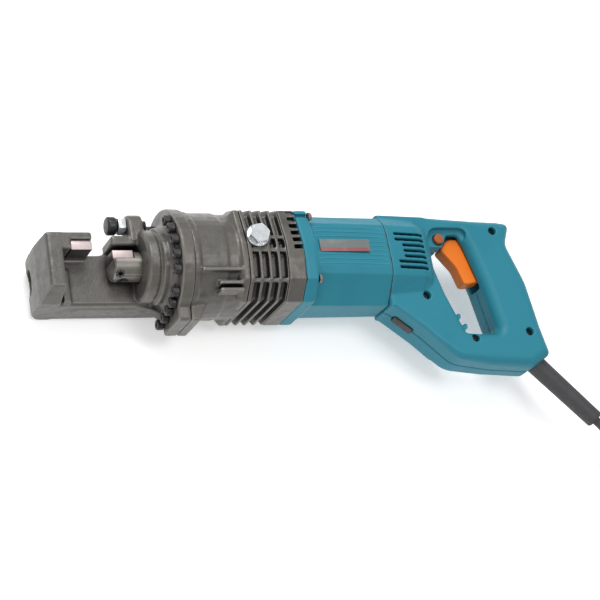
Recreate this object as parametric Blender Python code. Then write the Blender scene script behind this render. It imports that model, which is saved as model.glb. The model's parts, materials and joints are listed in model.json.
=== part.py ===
"""Hand-held electro-hydraulic rebar cutter, lying on its side with its jaw open upwards.

The tool is laid out on its own axis: x runs from the nose to the rear handle, u across the
tool (the trigger handle hangs towards -u) and n from the side it lies on to the open side.
All sizes below are in millimetres. The root empty puts the origin on the ground under the
middle of the pump case: world X is x - REST_STATION, Y is u and Z is n + SIDE_REACH.
"""

from math import atan2, cos, degrees, pi, radians, sin, sqrt, tan

import bmesh
import bpy
from mathutils import Matrix, Vector

MM = 0.001
GAP = 0.3                 # air left between pieces that touch
SLIVER = 0.003            # points closer than this are one point

# Driving sizes, in millimetres
SIDE_REACH = 47.0         # axis to the flat side that the tool lies on
FRAME_LENGTH = 109.0      # nose to the front face of the bolting flange
FLANGE_THICKNESS = 11.0
FLANGE_RADIUS = 49.0
BOLT_CIRCLE = 42.0
BAR_DIAMETER = 16.0       # the thickest bar that the jaw takes
RAM_RADIUS = 12.8
RAM_STROKE = 18.3
PISTON_RADIUS = 32.7
CYLINDER_LENGTH = 48.0
CYLINDER_RADIUS = 46.0
PUMP_CASE_LENGTH = 35.0
GEAR_CASE_LENGTH = 15.3
MOTOR_NECK_LENGTH = 12.0
MOTOR_LENGTH = 76.0
MOTOR_HALF_FRONT = 38.5   # half width of the motor casing behind its neck
MOTOR_HALF_REAR = 34.5    # half width of the motor casing at the handle
HANDLE_HALF = 20.0        # half thickness of the grip
WALL = 3.0                # moulded wall
CORD_RADIUS = 4.0
GUARD_LENGTH = 74.0
GUARD_RADIUS = 9.0

# Stations along the axis
FLANGE_REAR = FRAME_LENGTH + FLANGE_THICKNESS
CYLINDER_FRONT = FLANGE_REAR + GAP
CYLINDER_REAR = CYLINDER_FRONT + CYLINDER_LENGTH
PUMP_FRONT = CYLINDER_REAR + GAP
PUMP_REAR = PUMP_FRONT + PUMP_CASE_LENGTH
GEAR_CASE_FRONT = PUMP_REAR + GAP
GEAR_CASE_REAR = GEAR_CASE_FRONT + GEAR_CASE_LENGTH
MOTOR_FRONT = GEAR_CASE_REAR + GAP
MOTOR_SHOULDER = MOTOR_FRONT + MOTOR_NECK_LENGTH
MOTOR_REAR = MOTOR_SHOULDER + MOTOR_LENGTH
HANDLE_FRONT = MOTOR_REAR + GAP
REST_STATION = PUMP_FRONT + PUMP_CASE_LENGTH / 2

# Jaw
CLAW_REACH = 45.4         # nose to the open edge of the claw
CLAW_NEAR = 12.3
JAW_GAP = BAR_DIAMETER + 0.8
BLADE_LENGTH = 18.2
BLADE_THICKNESS = 8.4
BLADE_SIDE = 9.3          # half width of both blades
SHEAR_PLANE = 11.8
MOVING_BLADE_THICKNESS = 7.6
SLAB_NEAR = -RAM_RADIUS - 0.6
SLAB_LOW = -29.0
SLAB_HIGH = 16.5
RAM_FRONT = CLAW_REACH + JAW_GAP
BLADE_BOLT_RADIUS = 3.0

# Working gear inside
PISTON_FRONT = CYLINDER_FRONT + 29.5
PISTON_LENGTH = 11.0
BORE_RADIUS = PISTON_RADIUS + 0.6
SPRING_POCKET_RADIUS = 24.0
SPRING_POCKET_FRONT = FRAME_LENGTH - 11.0
SPRING_WIRE = 2.0
SPRING_COILS = 6
CRANK_OFFSET = 20.0       # armature axis to crankshaft axis
PINION_TEETH = 10
GEAR_TEETH = 30
ECCENTRIC_THROW = 2.0
SHAFT_RADIUS = 4.0
ARMATURE_RADIUS = 20.0
STATOR_BORE = 20.8

# Colours: linear red, green and blue, roughness, metallic
PAINTS = {
    "cast_iron": ((0.130, 0.125, 0.115), 0.55, 0.6),
    "tool_steel": ((0.60, 0.55, 0.54), 0.35, 0.9),
    "dark_steel": ((0.05, 0.05, 0.055), 0.40, 0.8),
    "bright_steel": ((0.62, 0.62, 0.62), 0.25, 1.0),
    "zinc": ((0.75, 0.78, 0.80), 0.25, 1.0),
    "rubber": ((0.045, 0.045, 0.050), 0.70, 0.0),
    "green_plastic": ((0.035, 0.270, 0.360), 0.42, 0.0),
    "orange_plastic": ((0.850, 0.230, 0.030), 0.40, 0.0),
    "brown_plastic": ((0.480, 0.130, 0.040), 0.45, 0.0),
    "black_plastic": ((0.012, 0.012, 0.012), 0.50, 0.0),
    "badge": ((0.160, 0.180, 0.180), 0.40, 0.0),
    "copper": ((0.70, 0.30, 0.15), 0.35, 1.0),
}


def clear_scene():
    """Remove everything, so that the script starts from nothing."""
    for item in list(bpy.data.objects):
        bpy.data.objects.remove(item, do_unlink=True)


def paint(name):
    """The material of that name, made once."""
    found = bpy.data.materials.get(name)
    if found:
        return found
    colour, roughness, metallic = PAINTS[name]
    made = bpy.data.materials.new(name)
    made.use_nodes = True
    shader = made.node_tree.nodes["Principled BSDF"]
    shader.inputs["Base Color"].default_value = (*colour, 1.0)
    shader.inputs["Roughness"].default_value = roughness
    shader.inputs["Metallic"].default_value = metallic
    made.diffuse_color = (*colour, 1.0)
    return made


# ---------------------------------------------------------------- shapes

def arc(centre, radius, start, end, steps):
    """Points on an arc, from start to end in degrees."""
    points = []
    for index in range(steps + 1):
        angle = radians(start + (end - start) * index / steps)
        points.append((centre[0] + radius * cos(angle), centre[1] + radius * sin(angle)))
    return points


def rounded(corners, steps=3):
    """An outline from (a, b, radius) corners, each rounded by an arc of that radius."""
    outline = []
    count = len(corners)
    for index, (a, b, radius) in enumerate(corners):
        here = Vector((a, b))
        if radius <= 0:
            outline.append((a, b))
            continue
        before = Vector(corners[index - 1][:2]) - here
        after = Vector(corners[(index + 1) % count][:2]) - here
        half = before.angle(after) / 2
        reach = min(radius / tan(half), 0.45 * before.length, 0.45 * after.length)
        radius = reach * tan(half)
        centre = here + (before.normalized() + after.normalized()).normalized() * radius / sin(half)
        first = here + before.normalized() * reach - centre
        last = here + after.normalized() * reach - centre
        start = atan2(first.y, first.x)
        turn = (atan2(last.y, last.x) - start + pi) % (2 * pi) - pi
        outline += arc(centre, radius, degrees(start), degrees(start + turn), steps)
    return outline


def solid(faces_mesh):
    """A temporary object, not yet named, from a bmesh in millimetres on the tool's axes."""
    bmesh.ops.recalc_face_normals(faces_mesh, faces=faces_mesh.faces)
    mesh = bpy.data.meshes.new("shape")
    faces_mesh.to_mesh(mesh)
    faces_mesh.free()
    made = bpy.data.objects.new("shape", mesh)
    bpy.context.scene.collection.objects.link(made)
    return made


def bevel(faces_mesh, edges, width, segments):
    """Round the given edges."""
    if width > 0:
        bmesh.ops.bevel(
            faces_mesh, geom=edges, offset=width, offset_type="OFFSET", segments=segments,
            profile=0.5, affect="EDGES", clamp_overlap=True)


def block(low, high, width=0.0, segments=1):
    """A box between two corners, its edges bevelled by width."""
    shape = bmesh.new()
    bmesh.ops.create_cube(shape, size=1.0)
    centre = [(a + b) / 2 for a, b in zip(low, high)]
    size = [b - a for a, b in zip(low, high)]
    bmesh.ops.scale(shape, vec=size, verts=shape.verts)
    bmesh.ops.translate(shape, vec=centre, verts=shape.verts)
    bevel(shape, shape.edges[:], width, segments)
    return solid(shape)


def place(along, first, second, axis):
    """A point from its place along an axis and its two coordinates across it."""
    if axis == "x":
        return (along, first, second)
    if axis == "u":
        return (first, along, second)
    return (first, second, along)


def plate(outline, low, high, axis="n", width=0.0, segments=1):
    """An outline across the axis, extruded from low to high, both rims bevelled."""
    shape = bmesh.new()
    bottom = [shape.verts.new(place(low, a, b, axis)) for a, b in outline]
    top = [shape.verts.new(place(high, a, b, axis)) for a, b in outline]
    rims = [shape.faces.new(bottom), shape.faces.new(top)]
    for index in range(len(outline)):
        following = (index + 1) % len(outline)
        shape.faces.new((bottom[index], bottom[following], top[following], top[index]))
    bmesh.ops.recalc_face_normals(shape, faces=shape.faces)
    bevel(shape, [edge for rim in rims for edge in rim.edges], width, segments)
    return solid(shape)


def loft(sections):
    """A closed skin through (station, outline) sections along x, all with as many points."""
    shape = bmesh.new()
    rings = []
    for station, outline in sections:
        rings.append([shape.verts.new((station, a, b)) for a, b in outline])
    shape.faces.new(rings[0])
    shape.faces.new(rings[-1])
    for first, second in zip(rings, rings[1:]):
        for index in range(len(first)):
            following = (index + 1) % len(first)
            shape.faces.new((first[index], first[following], second[following], second[index]))
    return solid(shape)


def turned(profile, steps=32, axis="x", centre=(0.0, 0.0), phase=0.0):
    """A closed (station, radius) profile turned round an axis; radius 0 closes an end."""
    shape = bmesh.new()
    rings = []
    for station, radius in profile:
        if radius <= 0:
            rings.append([shape.verts.new(place(station, *centre, axis))])
            continue
        ring = []
        for first, second in arc(centre, radius, phase, phase + 360, steps)[:-1]:
            ring.append(shape.verts.new(place(station, first, second, axis)))
        rings.append(ring)
    closed = len(rings[0]) > 1
    pairs = list(zip(rings, rings[1:]))
    if closed:
        pairs.append((rings[-1], rings[0]))
    for first, second in pairs:
        for index in range(steps):
            following = (index + 1) % steps
            corners = [first[index % len(first)], first[following % len(first)],
                       second[following % len(second)], second[index % len(second)]]
            face = list(dict.fromkeys(corners))
            if len(face) > 2:
                shape.faces.new(face)
    return solid(shape)


def rod(radius, low, high, axis="x", centre=(0.0, 0.0), steps=24, chamfer=0.0, phase=0.0):
    """A cylinder along an axis, both rims chamfered."""
    if chamfer <= 0:
        profile = [(low, 0), (low, radius), (high, radius), (high, 0)]
    else:
        profile = [(low, 0), (low, radius - chamfer), (low + chamfer, radius),
                   (high - chamfer, radius), (high, radius - chamfer), (high, 0)]
    return turned(profile, steps, axis, centre, phase)


def tube(inner, outer, low, high, axis="x", centre=(0.0, 0.0), steps=24):
    """A ring along an axis."""
    profile = [(low, inner), (low, outer), (high, outer), (high, inner)]
    return turned(profile, steps, axis, centre)


def combine(body, tools, operation):
    """Boolean the tools with the body, one after the other, and keep the result as its mesh."""
    for tool in tools:
        step = body.modifiers.new("combine", "BOOLEAN")
        step.operation = operation
        step.solver = "EXACT"
        step.object = tool
        bpy.context.view_layer.update()
        graph = bpy.context.evaluated_depsgraph_get()
        result = bpy.data.meshes.new_from_object(body.evaluated_get(graph))
        body.modifiers.clear()
        tidy = bmesh.new()
        tidy.from_mesh(result)
        bmesh.ops.remove_doubles(tidy, verts=tidy.verts, dist=SLIVER)
        bmesh.ops.dissolve_degenerate(tidy, dist=SLIVER, edges=tidy.edges)
        tidy.to_mesh(result)
        tidy.free()
        body.data = result
        bpy.data.objects.remove(tool, do_unlink=True)
    return body


def unite(body, *tools):
    """The body and the tools as one closed solid."""
    return combine(body, tools, "UNION")


def cut(body, *tools):
    """The body without the tools' space."""
    return combine(body, tools, "DIFFERENCE")


def turn(shape, angle, axis, centre):
    """Turn a temporary shape by degrees about a line along x, u or n through a point."""
    vector = {"x": (1, 0, 0), "u": (0, 1, 0), "n": (0, 0, 1)}[axis]
    there = Matrix.Translation(centre)
    back = Matrix.Translation([-value for value in centre])
    shape.data.transform(there @ Matrix.Rotation(radians(angle), 4, vector) @ back)
    return shape


def finish(shape, name, colour, origin=(0.0, 0.0, 0.0)):
    """Name the shape, give it its colour and hang it on the root with its own origin."""
    mesh = shape.data
    mesh.transform(Matrix.Translation([-value for value in origin]))
    mesh.transform(Matrix.Scale(MM, 4))
    mesh.name = name
    mesh.shade_smooth()
    mesh.set_sharp_from_angle(angle=radians(32))
    mesh.materials.clear()
    mesh.materials.append(paint(colour))
    shape.name = name
    shape.parent = bpy.data.objects["tool_axis"]
    shape.location = [value * MM for value in origin]
    return shape


def case_outline(scale=1.0):
    """Cross-section of the pump, gear and motor castings: (u, n) corners with flat sides."""
    half = [(41.4, 24.0), (36.5, 38.4), (4.0, SIDE_REACH), (-10.0, SIDE_REACH),
            (-28.3, 43.9), (-43.4, 28.3)]
    near = [(u * scale, n * scale) for u, n in half]
    far = [(u, -n) for u, n in reversed(near)]
    return near + far


def motor_outline(half_width, inset=0.0):
    """Cross-section of the motor casing for one half width, shrunk by an inset."""
    high = 42.4 - inset
    low = -42.0 + inset
    side = half_width - inset
    half = [(high, 0.30 * side), (high - 5.0, 0.62 * side), (27.5 - 0.5 * inset, 0.87 * side),
            (20.0, 0.93 * side), (-13.0, side), (-20.0, 0.94 * side),
            (-35.0 + 0.5 * inset, 0.56 * side), (low, 0.40 * side)]
    return half + [(u, -n) for u, n in reversed(half)]


# ---------------------------------------------------------------- jaw frame and blades

def nose_outline():
    """The claw's plan outline in (x, n): a bowed nose, flat in front."""
    return rounded([
        (6.0, CLAW_NEAR, 3.0), (1.0, -10.0, 12.0), (0.0, -22.0, 8.0), (0.0, -36.0, 8.0),
        (7.0, -SIDE_REACH, 5.0), (19.0, -SIDE_REACH, 0), (19.0, CLAW_NEAR, 0)])


def build_frame():
    """The one-piece steel jaw frame: claw, backbone, ram guide, stopper lug and flange."""
    backbone = rounded([
        (7.0, SLAB_LOW, 9.0), (FRAME_LENGTH + 2, SLAB_LOW, 0), (FRAME_LENGTH + 2, 30.0, 0),
        (78.0, 30.0, 0), (72.0, 22.0, 6.0), (60.0, SLAB_HIGH, 12.0), (7.0, SLAB_HIGH, 6.0)])
    body = plate(backbone, -SIDE_REACH, SLAB_NEAR, width=2.0)
    nose = plate(nose_outline(), SLAB_LOW, 26.9, axis="u")
    top_slope = plate(
        [(40.0, CLAW_NEAR + 2), (26.9, CLAW_NEAR - 2), (17.0, -SIDE_REACH), (17.0, -60.0), (40.0, -60.0)],
        -5.0, 30.0, axis="x")
    low_slope = plate(
        [(SLAB_LOW - 6, CLAW_NEAR + 4), (-21.0, CLAW_NEAR + 0.2), (SLAB_LOW, SLAB_NEAR + 3),
         (SLAB_LOW - 6, SLAB_NEAR + 3)], -5.0, 30.0, axis="x")
    nose = cut(nose, top_slope, low_slope)
    beam = block((17.0, SHEAR_PLANE + 0.2, SLAB_NEAR - 8), (CLAW_REACH, 26.9, CLAW_NEAR), 1.2)
    seat = block((CLAW_REACH - BLADE_LENGTH - GAP, SHEAR_PLANE - 4, -BLADE_SIDE - GAP),
                 (CLAW_REACH + 4, SHEAR_PLANE + BLADE_THICKNESS + GAP, CLAW_NEAR + 4))
    strip = block((22.0, SLAB_LOW + 1.0, SLAB_NEAR - 2), (29.0, 2.0, SLAB_NEAR + 3.0), 0.8)
    neck = turned([
        (RAM_FRONT + 24.0, 0), (RAM_FRONT + 24.0, 27.0), (RAM_FRONT + 26.0, 30.0),
        (RAM_FRONT + 33.5, 31.0), (RAM_FRONT + 34.5, 29.5), (RAM_FRONT + 36.0, 29.5),
        (RAM_FRONT + 37.0, 32.5), (RAM_FRONT + 42.0, 33.0), (FRAME_LENGTH - 2.0, 36.0),
        (FRAME_LENGTH, 37.0), (FRAME_LENGTH, FLANGE_RADIUS - 1.0),
        (FRAME_LENGTH + 1.0, FLANGE_RADIUS), (FLANGE_REAR, FLANGE_RADIUS), (FLANGE_REAR, 0)], 40)
    hood = block((RAM_FRONT + 0.5, SHEAR_PLANE + 4.4, SLAB_NEAR - 4),
                 (RAM_FRONT + 27.0, 25.0, BLADE_SIDE + 0.5), 1.5)
    lug_outline = rounded([(20.0, -11.0, 0), (20.0, 11.0, 0), (46.0, 8.5, 7.5), (46.0, -8.5, 7.5)])
    lug = plate(lug_outline, RAM_FRONT + 17.0, RAM_FRONT + 31.0, axis="x", width=1.5)
    foot = plate(rounded([(-30.0, 24.0, 0), (-55.5, 20.0, 3.0), (-55.5, -20.0, 3.0), (-30.0, -24.0, 0)]),
                 FRAME_LENGTH, FLANGE_REAR, axis="x", width=0.8)
    body = unite(body, nose, beam, strip, neck, hood, lug, foot)
    far_side = block((-10.0, -80.0, -80.0), (FLANGE_REAR + 10, 80.0, -SIDE_REACH))
    guide = rod(RAM_RADIUS + GAP, RAM_FRONT - RAM_STROKE - 4, FLANGE_REAR + 5, steps=32)
    pocket = rod(SPRING_POCKET_RADIUS, SPRING_POCKET_FRONT, FLANGE_REAR + 5)
    wiper_groove = rod(RAM_RADIUS + 4.3, RAM_FRONT + 28.0, RAM_FRONT + 33.0)
    blade_path = block((RAM_FRONT - 2, 0.0, -BLADE_SIDE - 0.8),
                       (RAM_FRONT + BLADE_LENGTH + 3.0, SHEAR_PLANE + 4.4, 30.0))
    nose_hole = rod(8.6, -5.0, 14.0, centre=(-2.0, -32.0), steps=20)
    stopper_hole = rod(5.0 + GAP, RAM_FRONT, RAM_FRONT + 40.0, centre=(37.0, 0.0), steps=20)
    blade_bolt_hole = rod(BLADE_BOLT_RADIUS + GAP, SHEAR_PLANE, 23.5, "u",
                          (CLAW_REACH - BLADE_LENGTH / 2, 0.0), 16)
    blade_head_hole = rod(5.0 + GAP, 23.2, 40.0, "u", (CLAW_REACH - BLADE_LENGTH / 2, 0.0), 16)
    holes = [bolt_hole(angle) for angle in BOLT_ANGLES]
    body = cut(body, far_side, seat, guide, pocket, wiper_groove, blade_path, nose_hole,
               stopper_hole, blade_bolt_hole, blade_head_hole, *holes)
    return finish(body, "jaw_frame", "cast_iron")


# The flange bolts: an upper arc on the open side, and a lower arc round the foot
BOLT_ANGLES = [44.0 + 17.5 * index for index in range(5)] + [141.0 + 15.5 * index for index in range(5)]
BOLT_RADIUS = 3.0
BOLT_HEAD_RADIUS = 4.5
BOLT_HEAD = 5.5


def bolt_centre(angle):
    """Where a flange bolt stands: on the bolt circle, further out on the foot."""
    reach = BOLT_CIRCLE + max(0.0, angle - 180.0) * 0.3
    return (reach * cos(radians(angle)), reach * sin(radians(angle)))


def bolt_hole(angle):
    """The cutter for one flange bolt's hole."""
    return rod(BOLT_RADIUS + GAP, FRAME_LENGTH - 1, FLANGE_REAR + 10, centre=bolt_centre(angle), steps=8)


def build_flange_bolts():
    """Socket-head bolts that hold the jaw frame to the cylinder."""
    for index, angle in enumerate(BOLT_ANGLES):
        centre = bolt_centre(angle)
        front = FRAME_LENGTH - GAP - BOLT_HEAD
        bolt = turned([
            (front, 0), (front, BOLT_HEAD_RADIUS - 0.5), (front + 0.5, BOLT_HEAD_RADIUS),
            (FRAME_LENGTH - GAP, BOLT_HEAD_RADIUS), (FRAME_LENGTH - GAP, BOLT_RADIUS),
            (FLANGE_REAR + 8.0, BOLT_RADIUS), (FLANGE_REAR + 8.0, 0)], 12, centre=centre)
        socket = rod(2.4, front - 1, front + 3.0, centre=centre, steps=6)
        finish(cut(bolt, socket), f"flange_bolt_{index + 1:02d}", "dark_steel",
               (FRAME_LENGTH, *centre))


def build_blades():
    """Two square shear blades and the bolts that hold them."""
    middle = CLAW_REACH - BLADE_LENGTH / 2
    fixed = block((CLAW_REACH - BLADE_LENGTH, SHEAR_PLANE, -BLADE_SIDE),
                  (CLAW_REACH, SHEAR_PLANE + BLADE_THICKNESS, BLADE_SIDE), 0.4)
    thread = rod(BLADE_BOLT_RADIUS + GAP, SHEAR_PLANE + 2, 40.0, "u", (middle, 0.0), 16)
    finish(cut(fixed, thread), "fixed_blade", "tool_steel")
    bolt = turned([
        (SHEAR_PLANE + 2.5, 0), (SHEAR_PLANE + 2.5, BLADE_BOLT_RADIUS), (23.5, BLADE_BOLT_RADIUS),
        (23.5, 5.0), (28.4, 5.0), (29.0, 4.2), (29.0, 0)], 16, "u", (middle, 0.0))
    socket = rod(2.3, 26.0, 40.0, "u", (middle, 0.0), 6)
    finish(cut(bolt, socket), "fixed_blade_bolt", "dark_steel")
    middle = RAM_FRONT + BLADE_LENGTH / 2
    low = SHEAR_PLANE - GAP - MOVING_BLADE_THICKNESS
    moving = block((RAM_FRONT, low, -BLADE_SIDE),
                   (RAM_FRONT + BLADE_LENGTH, SHEAR_PLANE - GAP, BLADE_SIDE), 0.4)
    thread = rod(BLADE_BOLT_RADIUS + GAP, low - 1, low + 5.5, "u", (middle, 0.0), 16)
    finish(cut(moving, thread), "moving_blade", "tool_steel")
    bolt = turned([
        (-12.0, 0), (-12.0, 4.6), (-7.0, 4.6), (-7.0, BLADE_BOLT_RADIUS),
        (low + 5.0, BLADE_BOLT_RADIUS), (low + 5.0, 0)], 16, "u", (middle, 0.0))
    socket = rod(2.3, -20.0, -9.0, "u", (middle, 0.0), 6)
    finish(cut(bolt, socket), "moving_blade_bolt", "dark_steel")


SET_SCREW_ANGLE = -47.0   # round the ram, from the open side towards -u
SET_SCREW_STATION = RAM_FRONT + 5.0
SET_SCREW_RADIUS = 2.6


def build_ram():
    """Ram with its piston, the piston seal, the rod wiper and the return spring."""
    piston_rear = PISTON_FRONT + PISTON_LENGTH
    groove = (PISTON_FRONT + 3.3, PISTON_FRONT + 7.7)
    ram = turned([
        (RAM_FRONT + 0.4, 0), (RAM_FRONT + 0.4, RAM_RADIUS - 1.2), (RAM_FRONT + 1.6, RAM_RADIUS),
        (PISTON_FRONT, RAM_RADIUS), (PISTON_FRONT, PISTON_RADIUS), (groove[0], PISTON_RADIUS),
        (groove[0], PISTON_RADIUS - 3.5), (groove[1], PISTON_RADIUS - 3.5),
        (groove[1], PISTON_RADIUS), (piston_rear, PISTON_RADIUS), (piston_rear, 0)], 40)
    seat_low = SHEAR_PLANE - 2 * GAP - MOVING_BLADE_THICKNESS
    seat = block((RAM_FRONT - 5, seat_low, -20.0), (RAM_FRONT + BLADE_LENGTH + GAP, 30.0, 20.0))
    middle = RAM_FRONT + BLADE_LENGTH / 2
    bolt_way = rod(BLADE_BOLT_RADIUS + GAP, -20.0, 20.0, "u", (middle, 0.0), 16)
    head_way = rod(4.6 + GAP, -20.0, -7.0 + GAP, "u", (middle, 0.0), 16)
    screw_way = rod(SET_SCREW_RADIUS + GAP, 8.4, 20.0, "n", (SET_SCREW_STATION, 0.0), 12)
    turn(screw_way, -SET_SCREW_ANGLE, "x", (0, 0, 0))
    finish(cut(ram, seat, bolt_way, head_way, screw_way), "ram", "bright_steel")
    screw = rod(SET_SCREW_RADIUS, 8.8, 12.3, "n", (SET_SCREW_STATION, 0.0), 12, 0.4)
    socket = rod(1.4, 10.5, 20.0, "n", (SET_SCREW_STATION, 0.0), 6)
    screw = cut(screw, socket)
    finish(turn(screw, -SET_SCREW_ANGLE, "x", (0, 0, 0)), "ram_set_screw", "dark_steel")
    seal = tube(PISTON_RADIUS - 3.2, BORE_RADIUS - GAP, groove[0] + GAP, groove[1] - GAP, steps=40)
    finish(seal, "piston_seal", "rubber")
    wiper = tube(RAM_RADIUS + GAP, RAM_RADIUS + 4.0, RAM_FRONT + 28.3, RAM_FRONT + 32.7, steps=32)
    finish(wiper, "rod_wiper", "rubber")
    spring_front = SPRING_POCKET_FRONT + RAM_STROKE + SPRING_WIRE + 1.0
    build_spring(spring_front, PISTON_FRONT - SPRING_WIRE - GAP)


def build_spring(front, rear):
    """The return spring round the ram: one wire swept along a helix."""
    steps = 11
    sides = 5
    radius = (RAM_RADIUS + SPRING_POCKET_RADIUS) / 2 + 1.0
    shape = bmesh.new()
    rings = []
    for index in range(SPRING_COILS * steps + 1):
        angle = 2 * pi * index / steps
        station = front + (rear - front) * index / (SPRING_COILS * steps)
        ring = []
        for side in range(sides):
            across = 2 * pi * side / sides
            reach = radius + SPRING_WIRE * cos(across)
            ring.append(shape.verts.new((
                station + SPRING_WIRE * sin(across), reach * cos(angle), reach * sin(angle))))
        rings.append(ring)
    shape.faces.new(rings[0])
    shape.faces.new(rings[-1])
    for first, second in zip(rings, rings[1:]):
        for side in range(sides):
            following = (side + 1) % sides
            shape.faces.new((first[side], first[following], second[following], second[side]))
    finish(solid(shape), "return_spring", "bright_steel")


STOPPER_AXIS = 37.0
STOPPER_RADIUS = 4.7


def build_stopper():
    """The adjusting bolt that the bar leans on, and its lock nut."""
    head_front = RAM_FRONT + 0.5
    lug_front = RAM_FRONT + 17.0
    bolt = turned([
        (head_front, 0), (head_front, 6.5), (head_front + 1.2, 8.0), (head_front + 7.0, 8.0),
        (head_front + 8.0, 7.2), (head_front + 8.0, STOPPER_RADIUS),
        (lug_front + 18.0, STOPPER_RADIUS), (lug_front + 18.0, 0)], 24, centre=(STOPPER_AXIS, 0.0))
    finish(bolt, "stopper_bolt", "dark_steel", (head_front, STOPPER_AXIS, 0.0))
    nut = rod(8.2, lug_front - GAP - 7.0, lug_front - GAP, centre=(STOPPER_AXIS, 0.0), steps=6, chamfer=0.6)
    bore = rod(STOPPER_RADIUS + GAP, 0.0, 200.0, centre=(STOPPER_AXIS, 0.0), steps=20)
    finish(cut(nut, bore), "stopper_nut", "zinc")


# ---------------------------------------------------------------- hydraulic castings

OIL_PLUG_PLACE = (PUMP_FRONT + 10.0, 9.4)


def build_cylinder():
    """Cylinder casting: round in front, with the foot's rear half and cast ribs behind."""
    band = CYLINDER_FRONT + 30.0
    body = turned([
        (CYLINDER_FRONT, 0), (CYLINDER_FRONT, CYLINDER_RADIUS + 1.2),
        (CYLINDER_FRONT + 5.0, CYLINDER_RADIUS + 1.2), (CYLINDER_FRONT + 6.0, CYLINDER_RADIUS),
        (band, CYLINDER_RADIUS), (band + 1.0, CYLINDER_RADIUS - 1.0),
        (CYLINDER_REAR, CYLINDER_RADIUS - 1.0), (CYLINDER_REAR, 0)], 40)
    collar = loft([(CYLINDER_REAR - 9.0, case_outline(0.90)), (CYLINDER_REAR - 5.0, case_outline()),
                   (CYLINDER_REAR, case_outline())])
    foot = plate([(CYLINDER_FRONT, -30.0), (CYLINDER_FRONT, -55.5), (CYLINDER_FRONT + 8.0, -55.5),
                  (CYLINDER_FRONT + 18.0, -38.0), (CYLINDER_FRONT + 18.0, -30.0)], -20.0, 20.0, width=1.0)
    long_rib = block((CYLINDER_FRONT + 6.0, -21.0, 34.0), (CYLINDER_REAR, -17.5, CYLINDER_RADIUS - 0.5), 0.6)
    pads = [block((CYLINDER_FRONT + 21.0, low, 30.0), (CYLINDER_REAR - 6.0, low + 3.2, 42.0), 0.6)
            for low in (-31.5, -38.0)]
    body = unite(body, collar, foot, long_rib, *pads)
    bore = rod(BORE_RADIUS, CYLINDER_FRONT - 5, PISTON_FRONT + PISTON_LENGTH + 1.5, steps=40)
    port = rod(3.0, CYLINDER_REAR - 12, CYLINDER_REAR + 5, centre=(20.0, 0.0), steps=12)
    far_side = block((0.0, -80.0, -80.0), (250.0, 80.0, -SIDE_REACH))
    holes = [rod(BOLT_RADIUS + GAP, CYLINDER_FRONT - 1, CYLINDER_FRONT + 9.0,
                 centre=bolt_centre(angle), steps=8) for angle in BOLT_ANGLES]
    finish(cut(body, far_side, bore, port, *holes), "cylinder_case", "cast_iron")


FIN_PITCH = 8.3
FIN_GROOVE = 6.0
GROOVE_DEPTH = 6.0
CHAMBER_FRONT = PUMP_FRONT + 6.0
CHAMBER_REAR = PUMP_FRONT + 24.0


def build_pump_case():
    """Finned oil and pump case, with the crank chamber open to the gear case."""
    body = loft([(PUMP_FRONT, case_outline()), (PUMP_REAR, case_outline())])
    grooves = []
    for index in range(4):
        front = PUMP_FRONT + 3.2 + FIN_PITCH * index
        ring = loft([(front, case_outline(1.3)), (front + FIN_GROOVE, case_outline(1.3))])
        core = loft([(front - 1, case_outline(1 - GROOVE_DEPTH / SIDE_REACH)),
                     (front + FIN_GROOVE + 1, case_outline(1 - GROOVE_DEPTH / SIDE_REACH))])
        grooves.append(cut(ring, core))
    body = cut(body, *grooves)
    x, u = OIL_PLUG_PLACE
    boss = rod(11.0, 30.0, SIDE_REACH - 0.6, "n", (x + 1.4, u), 24)
    rail = block((PUMP_FRONT, -4.5, 30.0), (PUMP_REAR, -1.0, SIDE_REACH - 0.4))
    rib = block((x, u - 2.0, 30.0), (PUMP_REAR, u + 1.0, SIDE_REACH - 0.8))
    rest_pad = block((PUMP_FRONT, -10.0, -SIDE_REACH), (PUMP_REAR, 4.0, -30.0))
    corners = [block((PUMP_FRONT, low, side - 2.0), (PUMP_REAR, low + 3.0, side + 2.0))
               for low, side in ((-30.0, 41.0), (-30.0, -41.0))]
    body = unite(body, boss, rail, rib, rest_pad, *corners)
    chamber = block((CHAMBER_FRONT, -CRANK_OFFSET - 13.0, -14.0), (CHAMBER_REAR, 21.0, 14.0))
    journal = rod(5.0 + GAP, PUMP_FRONT + 2.0, CHAMBER_FRONT + 5, centre=(-CRANK_OFFSET, 0.0), steps=20)
    bearing = rod(13.0 + GAP, CHAMBER_REAR - 1, PUMP_REAR + 5, centre=(-CRANK_OFFSET, 0.0), steps=24)
    plug_way = rod(5.0 + GAP, 36.0, 80.0, "n", OIL_PLUG_PLACE, 20)
    port = rod(3.0, PUMP_FRONT - 5, CHAMBER_FRONT + 5, centre=(19.5, 0.0), steps=12)
    finish(cut(body, chamber, journal, bearing, plug_way, port), "pump_case", "cast_iron")
    plug = turned([
        (37.0, 0), (37.0, 5.0), (SIDE_REACH + GAP, 5.0), (SIDE_REACH + GAP, 10.4),
        (SIDE_REACH + 1.6, 10.4), (SIDE_REACH + 1.6, 8.0), (SIDE_REACH + 3.0, 8.0),
        (SIDE_REACH + 3.0, 0)], 20, "n", OIL_PLUG_PLACE)
    head = rod(9.8, SIDE_REACH + 1.6, SIDE_REACH + 7.6, "n", OIL_PLUG_PLACE, 6, 0.8, 10.0)
    finish(unite(plug, head), "oil_plug", "zinc", (*OIL_PLUG_PLACE, SIDE_REACH))


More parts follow.
